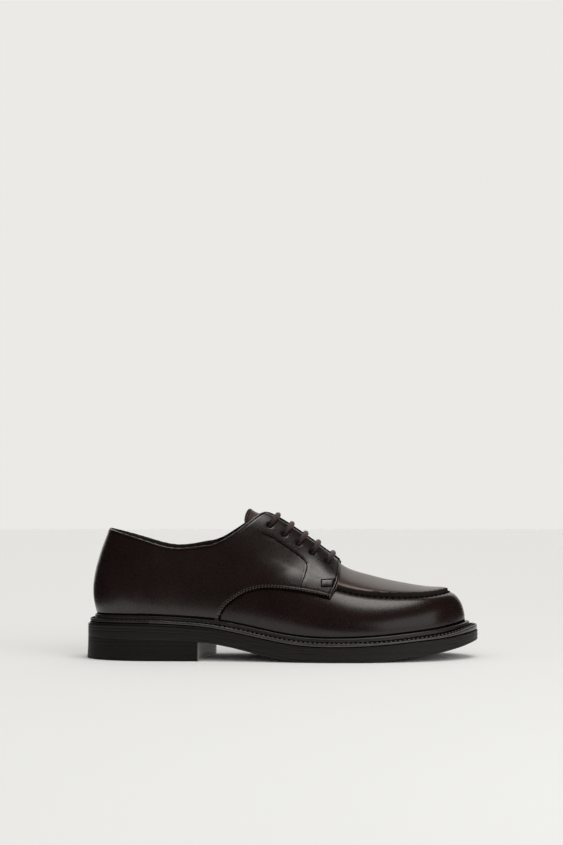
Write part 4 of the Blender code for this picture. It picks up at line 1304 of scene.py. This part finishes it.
def sole_layers(ring):
    """Rows of (inset, height) up the sole's edge, from its underside to its seat."""
    low = flat_profile(UNDERSIDE, sole_outline(ring)[:, 0])
    high = feather_edge(ring)[:, 2] - WELT_HEIGHT + 0.02
    behind = 1 - smooth_step(3.1, 3.35, toe_share(ring))
    softer = (1 - behind) * SOLE_ROUND + behind * SOLE_ROUND_BEHIND
    layers = [(np.full(ring.shape, inset), low) for inset in (6.0, 1.2)]
    for angle in np.radians(np.linspace(90, 0, 6)):
        layers.append((softer * (1 - math.cos(angle)), low + softer * (1 - math.sin(angle))))
    for t in np.linspace(0.12, 0.93, 40):
        h = low + t * (high - low)
        lines = sum(hollow(high - h, *row) for row in SOLE_LINES)
        layers.append((-lines - hollow(h - low, *FLOOR_LINE) * (1 - behind), h))
    for angle in np.radians(np.linspace(0, 90, 5)):
        layers.append((SOLE_TOP_ROUND * (1 - math.cos(angle)), high - SOLE_TOP_ROUND * (1 - math.sin(angle))))
    return [*layers, (stations_at(ring).welt + 4.0, high)]


def make_outsole_piece():
    share = np.linspace(0, TOE, 241)
    ring = np.concatenate([share, RING - share[-2:0:-1]])
    rows = [sole_outline(ring, inset, z) for inset, z in sole_layers(ring)]
    n, last = len(ring), len(rows) - 1
    faces = turned(ring_faces(len(rows), n))
    for k in range(n // 2):
        pair = [k, k + 1, n - k - 1, (n - k) % n]
        face = [c for i, c in enumerate(pair) if c not in pair[:i]]
        faces += [tuple(reversed(face)), tuple(c + last * n for c in face)]
    add_piece("sole", np.vstack(rows), faces, (SOLE,), None, ["outsole"], "sole_rubber")


def heel_sheet(level, columns, rows):
    """Level slice of the heel at a share of its height, with its hollow breast."""
    run = np.linspace(0, 1, columns) ** 0.9
    lines = []
    for side, breast in (("lateral", BREAST_LATERAL), ("medial", BREAST_MEDIAL)):
        s = in_ring(side, run * breast_share(side, breast))
        z = level * (flat_profile(UNDERSIDE, sole_outline(s)[:, 0]) + 0.03)
        foot = HEEL_ROUND * (1 - rounded(z, HEEL_ROUND))
        lines.append(sole_outline(s, foot - HEEL_FLARE * (1 - level) ** 2 - hollow(z, *FLOOR_LINE), z))
    sheet = across(*lines, count=rows)
    t = np.linspace(0, 1, rows)
    sheet[..., 0] -= BREAST_HOLLOW * 4 * t * (1 - t) * run[:, None] ** 3
    return sheet


def is_breast(corners):
    """Whether a face of the heel looks along the shoe and lies at its front."""
    return abs(geometry.normal(list(corners)).x) > 0.5 and corners[:, 0].max() > BREAST_LATERAL - 1


def make_heel_piece():
    columns, rows = 90, 25
    levels = np.concatenate([[1.0, 0.97], np.linspace(0.93, 0.12, 26), [0.07, 0.04, 0.02, 0.005, 0.0]])
    sheets = [heel_sheet(level, columns, rows) for level in levels]
    loop = [(c, 0) for c in range(columns)] + [(columns - 1, r) for r in range(1, rows)]
    loop += [(c, rows - 1) for c in range(columns - 2, 0, -1)]
    sides = [np.array([sheet[place] for place in loop]) for sheet in sheets]
    first = len(levels) * len(loop)
    top, bottom = (grid_faces(columns, rows, first + k * columns * rows) for k in range(2))
    points = np.vstack([*sides, sheets[0].reshape(-1, 3), sheets[-1].reshape(-1, 3)])
    kept, welded = weld(points, [*ring_faces(len(levels), len(loop)), *top, *turned(bottom)])
    points, faces = points[kept], turned(welded)
    # Faces of the breast take the light tone, a painted reflection
    breast = [is_breast(points[list(face)]) for face in faces]
    add_piece("heel_block", points, faces, (HEEL_PAINTED_SHADE, BREAST_PAINTED_LIGHT), breast, ["heel"], "heel_rubber")


# Laces: each bar comes up through its eyelet, bends over the facing and goes down on the other side

LACE_TURNS = 96
PLAIT_PITCH = 3.4
LACE_THICK = 2.05
# How much further each bar sags than its solid
MORE_SAG = (2.3, 2.4, 2.3, 1.8, 0.8)
LACE_FORWARD = 0.035
# The bend out of the eyelet, how far the cord presses in, and how deep its end goes
LACE_BEND, LACE_PRESS, LACE_DEEP = 2.1, 0.1, 2.4
# Painted shade darkens the cord towards its eyelets over this length
LACE_SHADED = 20.0


def lace_half(i, side):
    """Line of one half of a bar: up out of its eyelet, round a bend and over to the crest."""
    crossing = bar_crossings()[i] + LACE_FORWARD
    share, v = eyelets(side)[i]
    t = np.linspace(0, 1, 60)
    turn = 1 - (1 - t) ** 2
    s, over = in_ring(side, share * (1 - turn) + crossing * turn), v * (1 - t) + 2 * t
    flat, up = quarter_face(s, over), normal(s, over)
    arc = LACE_BEND * rounded(length(flat - flat[:1])[..., 0], LACE_BEND)
    low = LACE_THICK - LACE_PRESS - LACE_BEND
    rise = low + arc - (LACE_SAGS[i] + MORE_SAG[i]) * smooth_step(0.55, 1.0, t)
    down = flat[0] + up[0] * (low - np.linspace(LACE_DEEP, 0.4, 5))[:, None]
    return np.vstack([down, flat + rise[:, None] * up])


def lace_path(i):
    """Evenly spaced points along a bar, and the distance of each from its start."""
    line = np.vstack([lace_half(i, "lateral"), lace_half(i, "medial")[-2::-1]])
    run = runs(line)
    at = np.linspace(0, run[-1], LACE_TURNS)
    line = drawn(line, run, at)
    for _ in range(14):
        line[1:-1] = (line[:-2] + 2 * line[1:-1] + line[2:]) / 4
    return line, at


def make_lace_piece(number):
    line, at = lace_path(number - 1)
    along = unit(np.gradient(line, axis=0))
    side = unit(np.cross(along, [0.35, 0.0, 1.0]))
    around = 20
    turn = np.linspace(0, 2 * math.pi, around + 1)[:-1]
    twist = 2 * math.pi * at[:, None] / PLAIT_PITCH
    plait = np.sin(2 * turn + twist) * np.sin(2 * turn - twist)
    rings = circle(side, np.cross(side, along), around) * (LACE_THICK * (0.97 + 0.05 * plait))[..., None]
    points = (line[:, None] + rings).reshape(-1, 3)
    made = add_piece("lace_bar_%d" % number, points, turned(rod_faces(len(line), around)), (LACE,), None,
                     ["lace_%d" % number], "lace_cord")
    # Towards the eyelets the plait value falls, painting shade on the cord's ends
    out_of_shade = smooth_step(1.5, LACE_SHADED, np.minimum(at, at[-1] - at))[:, None]
    add_attribute(made, "plait", (0.35 * plait + 1.6 * out_of_shade - 1.0).ravel())


# Stage: a paper sweep that is bright round and behind the shoe, with a large soft light overhead

PAPER = (0.831, 0.823, 0.791)
FLOOR_ALBEDO = 0.86
ROOM = 0.02
FLOOR_NEAR = ((-0.27, -0.2), (0.05, -0.26), (0.62, -0.75), (1.1, 2.6), (-1.2, 2.6), (-0.27, 0.25))
FLOOR_REACH = 4.0
BACKDROP_Y, BACKDROP_HALF = 2.6, 1.8
# Heights of the backdrop's bands in metres, and how much each glows
BACKDROP_GLOW = ((-0.01, 1.0), (1.1, 1.25), (1.7, 1.5), (2.5, 1.6), (3.6, 1.5), (4.7, 0))
# Distant lamps: strength, angle that they fill in degrees, and direction; only the softbox shows in the gloss
Lamp = namedtuple("Lamp", "strength angle towards")
LAMPS = {"softbox": Lamp(0.85, 27.0, (0.17, -0.06, 0.983)), "front": Lamp(1.4, 70.0, (0.3, -0.9, 0.3)),
         "back": Lamp(0.7, 60.0, (0.1, 0.95, 0.29))}
DOME_ANGLE, DOME_TOWARDS = 150.0, (0.05, -0.48, 0.876)
LIGHT_TINT = (1.0, 0.975, 0.93)
FLOOR_TRIM = 0.893
FILL, FILL_PLACE, FILL_SIZE = 2.6, (0.9, -0.8, 0.38), (1.2, 0.7)
CAMERA_PLACE = ((148.72 - PLAN_CENTRE[0]) * MM, -2.1728 - PLAN_CENTRE[1] * MM, 0.1809)


def paper(name, albedo, glow):
    """Paper that returns a share of the light and glows."""
    colour = [albedo * c / t / PAPER[0] for c, t in zip(PAPER, LIGHT_TINT)]
    made, tree, shader = new_material(name, {"Base Color": (*colour, 1), "Specular IOR Level": 0.0,
                                             "Emission Color": (*glow, 1), "Emission Strength": 1.0})
    spread = ramp(tree, noise(tree, 3.0, 2.0), 0.3, 0.7, 0.84, 0.88)
    tree.links.new(spread, shader.inputs["Roughness"])
    return made


def add_stage(name, corners, faces, finish):
    mesh = bpy.data.meshes.new(name)
    mesh.from_pydata(corners, [], faces)
    mesh.materials.append(finish)
    made = bpy.data.objects.new(name, mesh)
    bpy.context.scene.collection.objects.link(made)
    return made


def make_floor():
    """Floor in two pieces: only the near and rear one shows in the leather's gloss."""
    finish = paper("paper_floor", FLOOR_ALBEDO, (0, 0, 0))
    near = [(x, y, 0) for x, y in FLOOR_NEAR]
    add_stage("floor_near", near, [tuple(range(len(near)))], finish)
    far = FLOOR_REACH
    around = [(-far, -far, 0), (far, -far, 0), (far, BACKDROP_Y, 0), (-far, BACKDROP_Y, 0)]
    outer = add_stage("floor_far", near + around, [(6, 7, 2, 1, 0), (7, 8, 3, 2), (9, 6, 0, 5, 4)], finish)
    outer.visible_glossy = False


def make_backdrop():
    """Back wall whose upper half glows more, as a sweep under an overhead light does."""
    for k, ((low, glow), (high, _)) in enumerate(zip(BACKDROP_GLOW, BACKDROP_GLOW[1:])):
        finish = paper("paper_backdrop_%d" % k, 0.0, [c * glow for c in PAPER])
        sides = ((-BACKDROP_HALF, low), (BACKDROP_HALF, low), (BACKDROP_HALF, high), (-BACKDROP_HALF, high))
        band = add_stage("backdrop_%d" % k, [(x, BACKDROP_Y, z) for x, z in sides], [(0, 1, 2, 3)], finish)
        band.visible_diffuse = False
        band.visible_shadow = False


def add_lamp(light, towards):
    """Lamp that shines from a direction onto the shoe."""
    lamp = bpy.data.objects.new(light.name, light)
    lamp.rotation_euler = Vector(towards).to_track_quat("Z", "Y").to_euler()
    bpy.context.scene.collection.objects.link(lamp)
    return lamp


def make_lights():
    """Distant lamps, of which the dome gives the floor its tone, a fill beside the toe and a dim room."""
    lit = sum(lamp.strength * lamp.towards[2] for lamp in LAMPS.values())
    dome = (FLOOR_TRIM * math.pi * PAPER[0] / FLOOR_ALBEDO - lit) / DOME_TOWARDS[2]
    for name, lamp in {**LAMPS, "dome": Lamp(dome, DOME_ANGLE, DOME_TOWARDS)}.items():
        light = bpy.data.lights.new(name, "SUN")
        light.energy = lamp.strength
        light.color = LIGHT_TINT
        light.angle = math.radians(lamp.angle)
        add_lamp(light, lamp.towards).visible_glossy = name == "softbox"
    light = bpy.data.lights.new("fill", "AREA")
    light.shape = "RECTANGLE"
    light.size, light.size_y = FILL_SIZE
    light.energy = FILL
    lamp = add_lamp(light, FILL_PLACE)
    lamp.location = FILL_PLACE
    lamp.visible_camera = False
    world = bpy.data.worlds.new("room")
    world.use_nodes = True
    world.node_tree.nodes["Background"].inputs["Color"].default_value = (ROOM, ROOM, ROOM, 1)
    bpy.context.scene.world = world


def make_camera():
    camera = bpy.data.cameras.new("camera")
    camera.sensor_fit = "VERTICAL"
    camera.sensor_height = 36.0
    camera.lens = 120.0
    camera.clip_end = 50.0
    eye = bpy.data.objects.new("camera", camera)
    eye.location = CAMERA_PLACE
    eye.rotation_euler = (math.pi / 2, 0, 0)
    bpy.context.scene.collection.objects.link(eye)
    bpy.context.scene.camera = eye
    bpy.context.scene.view_settings.view_transform = "Standard"


def make_stage():
    make_floor()
    make_backdrop()
    make_lights()
    make_camera()


def make_scene():
    make_vamp()
    make_seam_stitches()
    for side in ("lateral", "medial"):
        make_quarter_stitches(side, make_quarter_piece(side))
    make_tongue_piece()
    make_sock()
    make_welt_piece()
    make_welt_stitches()
    make_outsole_piece()
    make_heel_piece()
    for number in range(1, LACE_BARS + 1):
        make_lace_piece(number)
    make_stage()


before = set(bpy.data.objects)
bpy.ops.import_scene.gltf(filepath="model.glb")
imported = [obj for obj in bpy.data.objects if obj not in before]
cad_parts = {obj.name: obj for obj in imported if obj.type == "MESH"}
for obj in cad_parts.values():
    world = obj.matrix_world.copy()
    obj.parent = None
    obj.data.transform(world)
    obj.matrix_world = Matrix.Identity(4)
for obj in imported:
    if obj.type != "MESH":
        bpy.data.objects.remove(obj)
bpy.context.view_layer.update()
make_scene()
